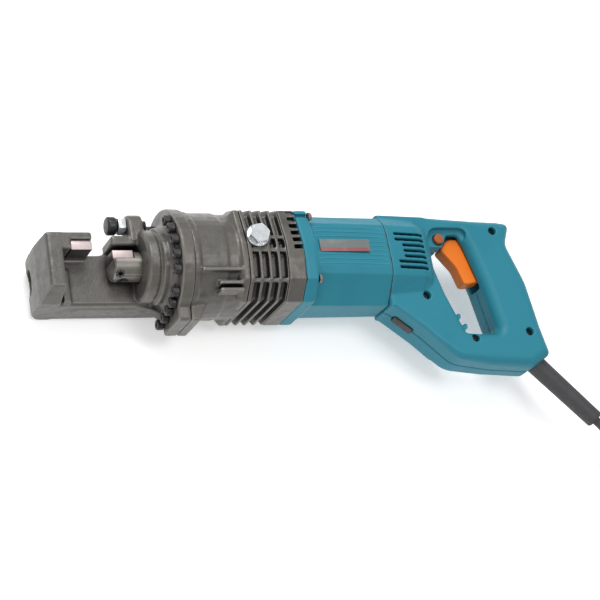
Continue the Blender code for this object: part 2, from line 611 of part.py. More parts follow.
def gear_outline(teeth, backlash=0.25, addendum=0.65, phase=0.0):
    """The outline of a spur gear of module 1: involute flanks down to the base circle."""
    pitch = teeth / 2
    pressure = radians(20)
    base = pitch * cos(pressure)
    tip = pitch + addendum
    root = pitch - 1.05
    half = pi / (2 * teeth) - backlash / (2 * pitch) + tan(pressure) - pressure
    outline = []
    for tooth in range(teeth):
        middle = radians(phase) + 2 * pi * tooth / teeth
        flank = []
        for step in range(2):
            radius = max(base, root) + (tip - max(base, root)) * step
            roll = sqrt(max(0.0, (radius / base) ** 2 - 1))
            flank.append((radius, half - (roll - atan2(roll, 1.0))))
        flank = [(root, half)] + flank
        for radius, angle in flank:
            outline.append((radius * cos(middle - angle), radius * sin(middle - angle)))
        for radius, angle in reversed(flank):
            outline.append((radius * cos(middle + angle), radius * sin(middle + angle)))
    return outline


def build_pump():
    """Crankshaft, its gear and bearing, and the plunger pump that it drives."""
    axis = (-CRANK_OFFSET, 0.0)
    front = PUMP_FRONT + 2.5
    gear_front = GEAR_CASE_FRONT + 2.5
    gear_rear = gear_front + 8.0
    eccentric = (CHAMBER_FRONT + 5.0, CHAMBER_REAR - 3.0)
    shaft = turned([
        (front, 0), (front, 5.0), (CHAMBER_REAR - 2.0, 5.0), (CHAMBER_REAR - 2.0, 6.0),
        (gear_front - 0.5, 6.0), (gear_front - 0.5, 4.5), (gear_rear + 1.0, 4.5),
        (gear_rear + 1.0, 0)], 20, centre=axis)
    lobe = rod(8.0, *eccentric, centre=(ECCENTRIC_THROW - CRANK_OFFSET, 0.0), steps=24)
    finish(unite(shaft, lobe), "crankshaft", "bright_steel", (front, *axis))
    bearing = tube(6.0 + GAP, 13.0, CHAMBER_REAR + 0.5, PUMP_REAR - 1.0, centre=axis, steps=24)
    finish(bearing, "crankshaft_bearing", "bright_steel")
    outline = [(u - CRANK_OFFSET, n) for u, n in gear_outline(GEAR_TEETH, phase=0.0)]
    gear = plate(outline, gear_front, gear_rear, axis="x")
    bore = rod(4.5 + GAP, gear_front - 5, gear_rear + 5, centre=axis, steps=16)
    finish(cut(gear, bore), "crankshaft_gear", "bright_steel", (gear_front, *axis))
    middle = (eccentric[0] + eccentric[1]) / 2
    touch = ECCENTRIC_THROW - CRANK_OFFSET + 8.0 + GAP
    barrel = tube(4.0 + GAP, 7.6, touch + 4.0, 20.5, "u", (middle, 0.0), 20)
    finish(barrel, "pump_barrel", "bright_steel")
    plunger = turned([(touch, 0), (touch, 5.5), (touch + 2.0, 5.5), (touch + 2.0, 4.0),
                      (touch + 20.0, 4.0), (touch + 20.0, 0)], 20, "u", (middle, 0.0))
    finish(plunger, "pump_plunger", "bright_steel")


VENT_COUNT = 6
VENT_PITCH = 6.9
VENT_HEIGHT = 4.0
GEAR_WALL = 3.6


def build_gear_case():
    """Ring casting between pump and motor, with a row of cooling slots on each side."""
    body = loft([(GEAR_CASE_FRONT, case_outline()), (GEAR_CASE_REAR, case_outline())])
    inside = loft([(GEAR_CASE_FRONT - 5, case_outline(0.86)),
                   (GEAR_CASE_REAR - GEAR_WALL, case_outline(0.86))])
    bearing = rod(9.0 + GAP, GEAR_CASE_FRONT, GEAR_CASE_REAR + 5, steps=24)
    slots = []
    for side in (1, -1):
        for index in range(VENT_COUNT):
            low = VENT_PITCH * index - 2.0
            slots.append(block((GEAR_CASE_REAR - 8.0, low, side * 44.0 - 9.0),
                               (GEAR_CASE_REAR + 3.0, low + VENT_HEIGHT, side * 44.0 + 9.0)))
    finish(cut(body, inside, bearing, *slots), "gear_case", "cast_iron")
    bearing = tube(SHAFT_RADIUS + GAP, 9.0, GEAR_CASE_REAR - GEAR_WALL + 0.2, GEAR_CASE_REAR + 2.5)
    finish(bearing, "front_bearing", "bright_steel")


# ---------------------------------------------------------------- motor

FAN_FRONT = MOTOR_FRONT + 5.0
CORE_FRONT = MOTOR_SHOULDER + 15.0
CORE_LENGTH = 34.0
COMMUTATOR_FRONT = CORE_FRONT + CORE_LENGTH + 5.0
REAR_WEB = MOTOR_REAR - 8.0


def build_motor():
    """Armature with its pinion, fan, stator, brushes and rear bearing."""
    core_rear = CORE_FRONT + CORE_LENGTH
    pinion_front = GEAR_CASE_FRONT + 2.3
    armature = turned([
        (pinion_front + 8.4, 0), (pinion_front + 8.4, SHAFT_RADIUS), (CORE_FRONT - 5.0, SHAFT_RADIUS),
        (CORE_FRONT - 5.0, 14.0), (CORE_FRONT, 17.0), (CORE_FRONT, ARMATURE_RADIUS),
        (core_rear, ARMATURE_RADIUS), (core_rear, 17.0), (core_rear + 4.0, 13.0),
        (COMMUTATOR_FRONT, 11.0), (COMMUTATOR_FRONT + 10.0, 11.0),
        (COMMUTATOR_FRONT + 10.0, SHAFT_RADIUS), (MOTOR_REAR - 1.5, SHAFT_RADIUS),
        (MOTOR_REAR - 1.5, 0)], 24)
    pinion = plate(gear_outline(PINION_TEETH, phase=180.0 / PINION_TEETH), pinion_front,
                   pinion_front + 8.6, axis="x")
    finish(unite(armature, pinion), "armature", "bright_steel", (CORE_FRONT, 0.0, 0.0))
    hub = tube(SHAFT_RADIUS + GAP, 11.0, FAN_FRONT, FAN_FRONT + 10.0)
    disc = tube(10.0, 30.0, FAN_FRONT, FAN_FRONT + 2.0, steps=32)
    vanes = []
    for index in range(9):
        vane = block((FAN_FRONT + 1.0, 9.0, -1.0), (FAN_FRONT + 9.0, 29.0, 1.0))
        vanes.append(turn(vane, 40.0 * index, "x", (0, 0, 0)))
    finish(unite(hub, disc, *vanes), "fan", "black_plastic", (FAN_FRONT, 0.0, 0.0))
    stator = plate(motor_outline(MOTOR_HALF_REAR, WALL + 1.5), CORE_FRONT, core_rear, axis="x")
    bore = rod(STATOR_BORE, CORE_FRONT - 5, core_rear + 5, steps=32)
    finish(cut(stator, bore), "stator", "copper")
    for name, side in (("near_brush", 1), ("far_brush", -1)):
        ends = sorted((side * (11.0 + GAP), side * 24.0))
        brush = block((COMMUTATOR_FRONT + 2.0, -3.0, ends[0]), (COMMUTATOR_FRONT + 8.0, 3.0, ends[1]), 0.3)
        finish(brush, name, "black_plastic")
    bearing = tube(SHAFT_RADIUS + GAP, 8.5, REAR_WEB + 1.0, MOTOR_REAR - 0.5)
    finish(bearing, "rear_bearing", "bright_steel")


SCREW_PLACES = [(31.0, 38.0), (-27.0, 40.5), (31.0, -38.0), (-27.0, -40.5)]


def build_motor_casing():
    """The moulded motor casing with its neck, and the screws and badge on it."""
    neck = loft([(MOTOR_FRONT, case_outline()), (MOTOR_SHOULDER - 2.0, case_outline()),
                 (MOTOR_SHOULDER, case_outline(0.985))])
    barrel = loft([(MOTOR_FRONT + 4.0, motor_outline(MOTOR_HALF_FRONT)),
                   (MOTOR_REAR, motor_outline(MOTOR_HALF_REAR))])
    body = unite(neck, barrel)
    inside = loft([(MOTOR_FRONT - 5.0, motor_outline(MOTOR_HALF_FRONT, WALL)),
                   (REAR_WEB, motor_outline(MOTOR_HALF_REAR, WALL))])
    bearing = rod(8.5 + GAP, REAR_WEB - 5, MOTOR_REAR + 5, steps=24)
    panels = [block((MOTOR_SHOULDER + 2.0, -33.0, side * 39.0 - 3.0),
                    (MOTOR_REAR + 5.0, -19.0, side * 39.0 + 3.0)) for side in (1, -1)]
    notches = [rod(4.6, MOTOR_SHOULDER + GAP, MOTOR_SHOULDER + 6.0, centre=place_, steps=16)
               for place_ in SCREW_PLACES]
    screw_ways = [rod(2.0 + GAP, MOTOR_FRONT - 5, MOTOR_SHOULDER + 5, centre=place_, steps=12)
                  for place_ in SCREW_PLACES]
    badge_seat = block((MOTOR_SHOULDER + 8.0, -0.5, MOTOR_HALF_REAR + 1.0),
                       (MOTOR_SHOULDER + 56.0, 11.5, MOTOR_HALF_REAR + 10.0))
    body = cut(body, inside, bearing, *panels, *notches, *screw_ways)
    body = cut(body, badge_seat)
    finish(body, "motor_housing", "green_plastic")
    badge = block((MOTOR_SHOULDER + 8.4, -0.1, MOTOR_HALF_REAR + 1.0 + GAP),
                  (MOTOR_SHOULDER + 55.6, 11.1, MOTOR_HALF_REAR + 2.2 + GAP), 0.2)
    finish(badge, "name_plate", "badge")
    for index, centre in enumerate(SCREW_PLACES):
        screw = turned([
            (MOTOR_FRONT + 1.0, 0), (MOTOR_FRONT + 1.0, 2.0), (MOTOR_SHOULDER + 2 * GAP, 2.0),
            (MOTOR_SHOULDER + 2 * GAP, 3.8), (MOTOR_SHOULDER + 3.2, 3.8),
            (MOTOR_SHOULDER + 4.0, 2.8), (MOTOR_SHOULDER + 4.0, 0)], 12, centre=centre)
        finish(screw, f"motor_screw_{index + 1}", "bright_steel", (MOTOR_SHOULDER, *centre))


# ---------------------------------------------------------------- handle

def handle_point(along, up, radius=0.0):
    """A corner of the handle, measured from its front face."""
    return (HANDLE_FRONT + along, up, radius)


HANDLE_TOP = 42.4
GRIP_REAR = 141.0         # front face of the handle to the back of the grip
HANDLE_LOW = -98.5
TRIGGER_PIVOT = (HANDLE_FRONT + 86.0, 20.0)
TRIGGER_HALF = 7.5
LOCK_PLACE = (HANDLE_FRONT + 60.0, 20.5)
LOCK_RADIUS = 4.6
GUARD_ROOT = (HANDLE_FRONT + GRIP_REAR + 2.0, HANDLE_LOW + 4.3)
GUARD_ANGLE = -47.0
HANDLE_SCREWS = [(36.2, -34.4), (77.0, -74.7), (GRIP_REAR - 8.5, -69.7), (GRIP_REAR - 26.7, 27.3)]


def handle_outline():
    """Side view of the handle: flat top, hooked grip, and the lower strut."""
    return rounded([
        handle_point(0.0, HANDLE_TOP), handle_point(GRIP_REAR - 19.0, HANDLE_TOP - 4.0, 30.0),
        handle_point(GRIP_REAR - 4.5, HANDLE_TOP - 5.9, 6.0), handle_point(GRIP_REAR - 12.6, 15.5, 12.0),
        handle_point(GRIP_REAR, -21.0, 60.0), handle_point(GRIP_REAR + 6.0, -64.0, 60.0),
        handle_point(GRIP_REAR + 11.2, HANDLE_LOW + 8.5, 5.0),
        handle_point(GRIP_REAR - 8.5, HANDLE_LOW - 3.0, 6.0),
        handle_point(93.0, HANDLE_LOW, 40.0), handle_point(58.0, HANDLE_LOW + 5.5, 25.0),
        handle_point(30.0, -66.0, 30.0), handle_point(4.0, -44.8, 20.0), handle_point(0.0, -44.0)], 4)


def hand_hole():
    """The opening for the fingers, with a notch above the trigger."""
    return rounded([
        handle_point(48.7, 13.0, 4.0), handle_point(48.7, -8.0, 12.0), handle_point(55.5, -32.0, 40.0),
        handle_point(70.5, HANDLE_LOW + 30.0, 4.0), handle_point(GRIP_REAR - 36.5, HANDLE_LOW + 29.0, 6.0),
        handle_point(GRIP_REAR - 45.0, -22.0, 30.0), handle_point(GRIP_REAR - 55.0, 14.0, 8.0),
        handle_point(81.0, 25.5, 3.0), handle_point(70.0, 25.5, 3.0), handle_point(63.0, 13.0, 1.5)], 4)


def handle_body():
    """The whole handle before it is split into its two shells."""
    outline = handle_outline()
    body = plate(outline, -HANDLE_HALF, HANDLE_HALF, width=7.0, segments=2)
    cheek = loft([(HANDLE_FRONT, motor_outline(MOTOR_HALF_REAR)),
                  (HANDLE_FRONT + 33.0, motor_outline(30.5)),
                  (HANDLE_FRONT + 41.0, motor_outline(26.0)),
                  (HANDLE_FRONT + 48.0, motor_outline(HANDLE_HALF - 1.0))])
    body = unite(body, cheek)
    body = combine(body, [plate(outline, -45.0, 45.0)], "INTERSECT")
    motor_space = loft([(HANDLE_FRONT - 5.0, motor_outline(MOTOR_HALF_REAR, WALL + 1.0)),
                        (HANDLE_FRONT + 30.0, motor_outline(30.5, WALL + 3.0))])
    opening = plate(hand_hole(), -45.0, 45.0)
    scoops = [plate(rounded([handle_point(44.0, 10.0, 6.0), handle_point(50.0, 30.0, 10.0),
                             handle_point(92.0, 30.0, 6.0), handle_point(80.0, 10.0, 6.0)]),
                    *sorted((side * 14.0, side * 45.0))) for side in (1, -1)]
    slot = plate(rounded([handle_point(63.0, 27.0), handle_point(63.0, 10.0), handle_point(80.0, 8.0),
                          handle_point(88.0, -23.5), handle_point(111.0, -23.5),
                          handle_point(107.0, 0.0), handle_point(98.0, 27.0)]),
                 -TRIGGER_HALF - 0.7, TRIGGER_HALF + 0.7)
    switch_space = block((HANDLE_FRONT + 110.0, -18.0, -10.5), (HANDLE_FRONT + 123.5, 12.0, 10.5))
    wire_space = plate([handle_point(112.0, -17.0)[:2], handle_point(123.0, -17.0)[:2],
                        handle_point(GRIP_REAR + 1.0, HANDLE_LOW + 14.0)[:2],
                        handle_point(GRIP_REAR - 10.0, HANDLE_LOW + 10.0)[:2]], -5.0, 5.0)
    guard_way = guard_shape(-8.3, 30.0, GUARD_RADIUS + GAP, GUARD_RADIUS + GAP)
    vents = []
    for side in (1, -1):
        for index in range(7):
            up = 19.4 - 5.35 * index
            start = 7.5 if index < 2 or index > 4 else 14.5
            vents.append(block((HANDLE_FRONT + start, up - 1.3, side * 31.0 - 14.0),
                               (HANDLE_FRONT + 39.0, up + 1.3, side * 31.0 + 14.0)))
    screw_ways = []
    for along, up in HANDLE_SCREWS:
        centre = (HANDLE_FRONT + along, up)
        screw_ways.append(rod(3.9, 13.0, 50.0, "n", centre, 14))
        screw_ways.append(rod(2.0 + GAP, -8.5, 14.0, "n", centre, 10))
    insert_way = insert_shape(GAP)
    return cut(body, motor_space, opening, *scoops, slot, switch_space, wire_space, guard_way,
               *vents, *screw_ways, insert_way)


def guard_shape(start, end, first_radius, last_radius, steps=24):
    """A round taper along the cord guard's axis, in its place at the handle's corner."""
    shape = turned([(start, 0), (start, first_radius), (end, last_radius), (end, 0)], steps)
    shape.data.transform(Matrix.Translation((*GUARD_ROOT, 0.0)) @ Matrix.Rotation(radians(GUARD_ANGLE), 4, "Z"))
    return shape


def insert_shape(clearance):
    """The rubber insert under the front of the strut, or with a clearance its pocket."""
    centre = (HANDLE_FRONT + 16.0, -55.6)
    shape = block((centre[0] - 10.0 - clearance, centre[1] - 0.4 - 10 * clearance, -4.5 - clearance),
                  (centre[0] + 10.0 + clearance, centre[1] + 3.4 + clearance, 4.5 + clearance))
    return turn(shape, -39.5, "n", (*centre, 0.0))


def build_handle():
    """Two handle shells split along the middle, their screws and the rubber insert."""
    far_half = block((250.0, -150.0, -80.0), (600.0, 100.0, GAP / 2))
    near_half = block((250.0, -150.0, -GAP / 2), (600.0, 100.0, 80.0))
    near = cut(handle_body(), far_half)
    button_way = rod(LOCK_RADIUS + GAP, 5.0, 40.0, "n", LOCK_PLACE, 20)
    finish(cut(near, button_way), "handle_near_shell", "green_plastic")
    finish(cut(handle_body(), near_half), "handle_far_shell", "green_plastic")
    for index, (along, up) in enumerate(HANDLE_SCREWS):
        centre = (HANDLE_FRONT + along, up)
        screw = turned([(-8.0, 0), (-8.0, 2.0), (13.0 + GAP, 2.0), (13.0 + GAP, 3.5), (15.5, 3.5),
                        (16.0, 3.0), (16.0, 0)], 12, "n", centre)
        finish(screw, f"handle_screw_{index + 1}", "dark_steel", (*centre, 13.0))
    finish(insert_shape(0.0), "strut_insert", "rubber")


def build_controls():
    """Trigger, lock button and switch."""
    outline = rounded([
        handle_point(64.8, 13.8, 1.5), handle_point(70.0, 20.5, 3.0), handle_point(75.0, 24.0, 3.0),
        handle_point(92.0, 24.0, 2.0), handle_point(97.0, 5.0, 4.0), handle_point(100.0, -17.0, 2.0),
        handle_point(88.0, -19.5, 2.0), handle_point(82.5, -19.5, 2.5), handle_point(77.5, -3.0, 14.0)], 3)
    trigger = plate(outline, -TRIGGER_HALF, TRIGGER_HALF, width=1.6, segments=2)
    finish(trigger, "trigger", "orange_plastic", (*TRIGGER_PIVOT, 0.0))
    button = rod(LOCK_RADIUS, 9.6, 17.5, "n", LOCK_PLACE, 20, 0.8)
    finish(button, "lock_button", "brown_plastic", (*LOCK_PLACE, 9.6))
    switch = block((HANDLE_FRONT + 111.0, -16.0, -9.8), (HANDLE_FRONT + 122.8, 11.0, 9.8), 0.5)
    finish(switch, "switch_body", "black_plastic")


# ---------------------------------------------------------------- cord

COIL_CENTRE = (590.0, -160.0)
COIL_INNER = 32.0
COIL_OUTER = 57.0
COIL_HEIGHT = 4.1 * CORD_RADIUS
GROUND = -SIDE_REACH
CORD_LOW = GROUND + CORD_RADIUS + 0.2
PLUG_START = (617.0, -82.0)
PLUG_LENGTH = 40.0
PLUG_RADIUS = 13.0


def lead_route():
    """From the guard's end, down to the ground and round to the outside of the coil."""
    end = radians(GUARD_ANGLE)
    reach = GUARD_LENGTH + 2 * GAP
    start = (GUARD_ROOT[0] + reach * cos(end), GUARD_ROOT[1] + reach * sin(end))
    return [(*start, 0.0), (508.2, -155.6, -0.6), (518.0, -166.5, -6.0), (527.0, -177.5, -15.0),
            (535.0, -189.0, -27.0), (543.0, -200.0, -37.0), (552.0, -209.5, -41.8),
            (563.0, -216.8, CORD_LOW), (576.0, -220.8, CORD_LOW), (590.0, -221.6, CORD_LOW)]


def tail_route():
    """From the outside of the coil to the plug."""
    return [(651.6, -160.0, CORD_LOW), (651.6, -145.0, CORD_LOW), (650.0, -128.0, CORD_LOW + 0.5),
            (646.5, -111.0, CORD_LOW + 2.0), (640.0, -96.5, CORD_LOW + 5.0),
            (631.5, -86.0, GROUND + PLUG_RADIUS - 1.0), (PLUG_START[0] + 8.0, PLUG_START[1], GROUND + PLUG_RADIUS),
            (PLUG_START[0] + 2 * GAP, PLUG_START[1], GROUND + PLUG_RADIUS)]


def smooth_route(points, per_span=3):
    """Points on one smooth curve through the route's own points."""
    ends = [2 * Vector(points[0]) - Vector(points[1])]
    ends += [Vector(point) for point in points]
    ends.append(2 * Vector(points[-1]) - Vector(points[-2]))
    curve = []
    for a, b, c, d in zip(ends, ends[1:], ends[2:], ends[3:]):
        for step in range(per_span):
            t = step / per_span
            curve.append(0.5 * (2 * b + (c - a) * t + (2 * a - 5 * b + 4 * c - d) * t ** 2
                                + (3 * b - a - 3 * c + d) * t ** 3))
    curve.append(Vector(points[-1]))
    return curve


def cord_tube(name, route):
    """A round rubber cord along a route."""
    points = smooth_route(route)
    line = bpy.data.curves.new(name, "CURVE")
    line.dimensions = "3D"
    line.bevel_depth = CORD_RADIUS * MM
    line.bevel_resolution = 2
    line.use_fill_caps = True
    spline = line.splines.new("POLY")
    spline.points.add(len(points) - 1)
    for spot, point in zip(spline.points, points):
        spot.co = (*(point * MM), 1.0)
    line.materials.append(paint("rubber"))
    made = bpy.data.objects.new(name, line)
    bpy.context.scene.collection.objects.link(made)
    made.parent = bpy.data.objects["tool_axis"]


def build_cord():
    """Guard, lead, coil, tail and a plain two-pin plug."""
    guard = guard_shape(-8.0, GUARD_LENGTH, GUARD_RADIUS, GUARD_RADIUS - 0.8)
    finish(guard, "cord_guard", "rubber")
    cord_tube("cord_lead", lead_route())
    coil = turned([(GROUND, COIL_INNER), (GROUND, COIL_OUTER), (GROUND + COIL_HEIGHT, COIL_OUTER),
                   (GROUND + COIL_HEIGHT, COIL_INNER)], 36, "n", COIL_CENTRE)
    finish(coil, "cord_coil", "rubber")
    cord_tube("cord_tail", tail_route())
    x, u = PLUG_START
    middle = GROUND + PLUG_RADIUS
    body = turned([(x, 0), (x, 6.0), (x - 12.0, 8.0), (x - 16.0, PLUG_RADIUS),
                   (x - PLUG_LENGTH, PLUG_RADIUS), (x - PLUG_LENGTH, 0)], 24, centre=(u, middle))
    pins = [rod(2.4, x - PLUG_LENGTH - 19.0, x - PLUG_LENGTH + 2.0, centre=(u + side * 9.5, middle),
                steps=12, chamfer=0.8) for side in (-0.99, 0.99)]
    finish(unite(body, *pins), "plug", "rubber")


def main():
    """Build the whole tool under one empty on its axis."""
    clear_scene()
    root = bpy.data.objects.new("tool_axis", None)
    root.location = (-REST_STATION * MM, 0.0, SIDE_REACH * MM)
    bpy.context.scene.collection.objects.link(root)
    build_frame()
    build_flange_bolts()
    build_blades()
    build_ram()
    build_stopper()
    build_cylinder()
    build_pump_case()
    build_pump()
    build_gear_case()
    build_motor()
    build_motor_casing()
    build_handle()
    build_controls()
    build_cord()


main()
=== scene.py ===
import json
from math import atan2, cos, degrees, pi, radians, sin, tan

import bmesh
import bpy
import numpy as np
from mathutils import Matrix, Vector
from mathutils.geometry import convex_hull_2d


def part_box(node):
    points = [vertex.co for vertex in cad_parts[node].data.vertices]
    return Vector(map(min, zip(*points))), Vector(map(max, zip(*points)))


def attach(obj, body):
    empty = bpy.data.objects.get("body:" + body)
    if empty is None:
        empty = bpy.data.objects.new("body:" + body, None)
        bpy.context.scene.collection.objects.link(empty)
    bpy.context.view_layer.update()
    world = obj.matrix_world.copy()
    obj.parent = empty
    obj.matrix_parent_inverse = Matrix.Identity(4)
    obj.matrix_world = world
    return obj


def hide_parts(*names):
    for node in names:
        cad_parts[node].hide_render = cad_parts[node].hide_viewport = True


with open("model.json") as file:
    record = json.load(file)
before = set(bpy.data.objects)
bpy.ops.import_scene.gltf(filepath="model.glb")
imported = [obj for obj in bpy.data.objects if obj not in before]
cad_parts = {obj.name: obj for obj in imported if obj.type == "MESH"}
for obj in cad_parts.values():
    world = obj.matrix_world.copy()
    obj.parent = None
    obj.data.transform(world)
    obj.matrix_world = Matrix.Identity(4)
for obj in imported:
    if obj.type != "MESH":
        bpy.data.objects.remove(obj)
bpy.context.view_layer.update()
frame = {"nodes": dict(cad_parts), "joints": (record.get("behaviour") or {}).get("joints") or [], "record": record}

# Looks of the rebar cutter. Shapes are worked out in millimetres on the tool's own axes, as in
# the CAD: x runs from the nose to the handle, u across the tool and n up from its axis. TO_ROW
# takes them to the frame's metres.
MM = 0.001
NODES = frame["nodes"]
AXIS_HEIGHT = next(j["pos_m"][2] for j in frame["joints"] if j["name"] == "armature_spin")
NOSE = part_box("jaw_frame")[0].x
TO_ROW = Matrix.Translation((NOSE, 0.0, AXIS_HEIGHT)) @ Matrix.Scale(MM, 4)
FROM_ROW = TO_ROW.inverted()


def station(node, end):
    """A CAD node's lowest (0) or highest (1) place along x, in millimetres from the nose."""
    return (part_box(node)[end].x - NOSE) / MM


FLANGE_REAR = station("jaw_frame", 1)
FLANGE_FRONT = FLANGE_REAR - 11.0
MOTOR_FRONT = station("motor_housing", 0)
MOTOR_SHOULDER = MOTOR_FRONT + 12.0
MOTOR_REAR = station("motor_housing", 1)
HANDLE_FRONT = station("handle_near_shell", 0)
GROUND = -AXIS_HEIGHT / MM


# ---------------------------------------------------------------- camera

CAMERA_AIM = Vector((NOSE + 238.3 * MM, 0.0, AXIS_HEIGHT))
CAMERA_BACK = Vector((-0.4067, -0.3422, 0.8470))
CAMERA_UP = Vector((0.0, 0.9272, 0.3746))
CAMERA_DISTANCE = 1.717
CAMERA_LENS = 118.3
CAMERA_SHIFT = (-0.005, -0.055)
CAMERA_END = 50.0


def make_camera():
    """The camera at the photograph's viewing angle."""
    data = bpy.data.cameras.new("camera")
    data.lens = CAMERA_LENS
    data.shift_x, data.shift_y = CAMERA_SHIFT
    data.clip_end = CAMERA_END
    camera = bpy.data.objects.new("camera", data)
    back = CAMERA_BACK.normalized()
    right = CAMERA_UP.cross(back).normalized()
    up = back.cross(right)
    turned = Matrix((right, up, back)).transposed().to_4x4()
    camera.matrix_world = Matrix.Translation(CAMERA_AIM + back * CAMERA_DISTANCE) @ turned
    bpy.context.scene.collection.objects.link(camera)
    bpy.context.scene.camera = camera


# ---------------------------------------------------------------- materials

COAT_ROUGHNESS = 0.25
PLASTIC_COAT = 0.05
PLASTIC_GLOSS = 0.25      # specular level of moulded plastic
OPENNESS_SAMPLES = 8
GROOVE_SHADE = 0.22       # how much of the dark colour is left in the painted shade deep in a moulded groove
BADGE_STRIP = (0.0033, 0.0030)  # across the tool, where the badge turns from grey to red


class Finish:
    """A procedural material on one Principled shader, built up a feature at a time."""

    def __init__(self, name, colour, roughness, metallic=0.0, coat=0.0):
        self.material = bpy.data.materials.new(name)
        self.material.use_nodes = True
        self.tree = self.material.node_tree
        self.shader = self.tree.nodes["Principled BSDF"]
        self.shader.inputs["Base Color"].default_value = (*colour, 1.0)
        self.shader.inputs["Roughness"].default_value = roughness
        self.shader.inputs["Metallic"].default_value = metallic
        self.shader.inputs["Coat Weight"].default_value = coat
        self.shader.inputs["Coat Roughness"].default_value = COAT_ROUGHNESS
        self.place = self.tree.nodes.new("ShaderNodeTexCoord").outputs["Object"]
        self.colour = None
        self.base = colour
        self.normal = None

    def noise(self, scale, detail=3.0, stretch=(1.0, 1.0, 1.0)):
        """Noise with that many features a metre, times the stretch along each axis."""
        mapping = self.tree.nodes.new("ShaderNodeMapping")
        mapping.inputs["Scale"].default_value = stretch
        texture = self.tree.nodes.new("ShaderNodeTexNoise")
        texture.inputs["Scale"].default_value = scale
        texture.inputs["Detail"].default_value = detail
        self.tree.links.new(self.place, mapping.inputs["Vector"])
        self.tree.links.new(mapping.outputs["Vector"], texture.inputs["Vector"])
        return texture.outputs["Fac"]

    def openness(self, reach):
        """From 0 where other surfaces close in within a reach in metres, to 1 in the open."""
        openness = self.tree.nodes.new("ShaderNodeAmbientOcclusion")
        openness.samples = OPENNESS_SAMPLES
        openness.inputs["Distance"].default_value = reach
        return openness.outputs["AO"]

    def facing_up(self):
        """How squarely the surface faces the tool's open side, from its own normal."""
        coordinates = self.tree.nodes.new("ShaderNodeTexCoord")
        split = self.tree.nodes.new("ShaderNodeSeparateXYZ")
        self.tree.links.new(coordinates.outputs["Normal"], split.inputs["Vector"])
        return split.outputs["Z"]

    def edges(self):
        """How far the surface bulges: above a half on edges, below it in corners."""
        return self.tree.nodes.new("ShaderNodeNewGeometry").outputs["Pointiness"]

    def along(self, axis):
        """The place along one axis, in the frame's metres."""
        split = self.tree.nodes.new("ShaderNodeSeparateXYZ")
        self.tree.links.new(self.place, split.inputs["Vector"])
        return split.outputs[axis]

    def spread(self, value, low, high, to_low=0.0, to_high=1.0):
        """A value between low and high, spread to another range and held there."""
        spread = self.tree.nodes.new("ShaderNodeMapRange")
        limits = {"From Min": low, "From Max": high, "To Min": to_low, "To Max": to_high}
        for name, number in limits.items():
            spread.inputs[name].default_value = number
        self.tree.links.new(value, spread.inputs["Value"])
        return spread.outputs["Result"]

    def tint(self, colour, share):
        """Mix a colour over what is there, by a share."""
        mix = self.tree.nodes.new("ShaderNodeMix")
        mix.data_type = "RGBA"
        sockets = [s for s in mix.inputs if s.type == "RGBA"]
        if self.colour is None:
            sockets[0].default_value = (*self.base, 1.0)
        else:
            self.tree.links.new(self.colour, sockets[0])
        sockets[1].default_value = (*colour, 1.0)
        self.tree.links.new(share, mix.inputs["Factor"])
        self.colour = next(s for s in mix.outputs if s.type == "RGBA")
        self.tree.links.new(self.colour, self.shader.inputs["Base Color"])
        return self

    def rough(self, value, low, high):
        """Let the roughness follow a value, between low and high."""
        self.tree.links.new(self.spread(value, 0.3, 0.7, low, high), self.shader.inputs["Roughness"])
        return self

    def bump(self, value, height, strength=1.0):
        """Raise the surface by a value, up to a height in metres."""
        bump = self.tree.nodes.new("ShaderNodeBump")
        bump.inputs["Strength"].default_value = strength
        bump.inputs["Distance"].default_value = height
        self.tree.links.new(value, bump.inputs["Height"])
        if self.normal is not None:
            self.tree.links.new(self.normal, bump.inputs["Normal"])
        self.normal = bump.outputs["Normal"]
        self.tree.links.new(self.normal, self.shader.inputs["Normal"])
        return self


def cast_iron():
    """Oily grey-brown castings: grainy skin, worn edges with painted highlight, painted shade in corners."""
    made = Finish("cast_iron", (0.078, 0.075, 0.067), 0.36, 0.25, 0.15)
    made.tint((0.108, 0.097, 0.083), made.spread(made.noise(24.0, 4.0), 0.42, 0.66, 0.0, 0.8))
    made.tint((0.036, 0.034, 0.033), made.spread(made.noise(70.0, 5.0), 0.54, 0.72, 0.0, 0.6))
    # edges lighter: partly wear, partly a painted highlight
    made.tint((0.300, 0.280, 0.250), made.spread(made.edges(), 0.515, 0.570, 0.0, 0.60))
    # painted shade: darker where other surfaces close in, in corners and recesses
    made.tint((0.012, 0.011, 0.011), made.spread(made.openness(0.012), 0.78, 0.30, 0.0, 0.97))
    made.rough(made.noise(140.0), 0.28, 0.46)
    made.bump(made.noise(900.0, 4.0), 0.00045, 0.55)
    return made.bump(made.noise(190.0, 2.0), 0.0009, 0.4).material


def blade_steel_with_painted_shade():
    """Shear blades: the face to the open side is bright ground steel; the other faces are darkened as painted
    shade.
    """
    made = Finish("tool_steel", (0.52, 0.44, 0.43), 0.36, 0.45)
    made.tint((0.36, 0.27, 0.27), made.spread(made.noise(420.0, 2.0, (8.0, 0.6, 0.6)), 0.4, 0.7, 0.0, 0.6))
    # painted shade: every face but the one to the open side is darkened
    made.tint((0.050, 0.041, 0.042), made.spread(made.facing_up(), 0.75, 0.55))
    made.rough(made.noise(600.0, 2.0, (6.0, 0.5, 0.5)), 0.28, 0.46)
    return made.bump(made.noise(900.0, 2.0, (8.0, 0.4, 0.4)), 0.00012, 0.6).material


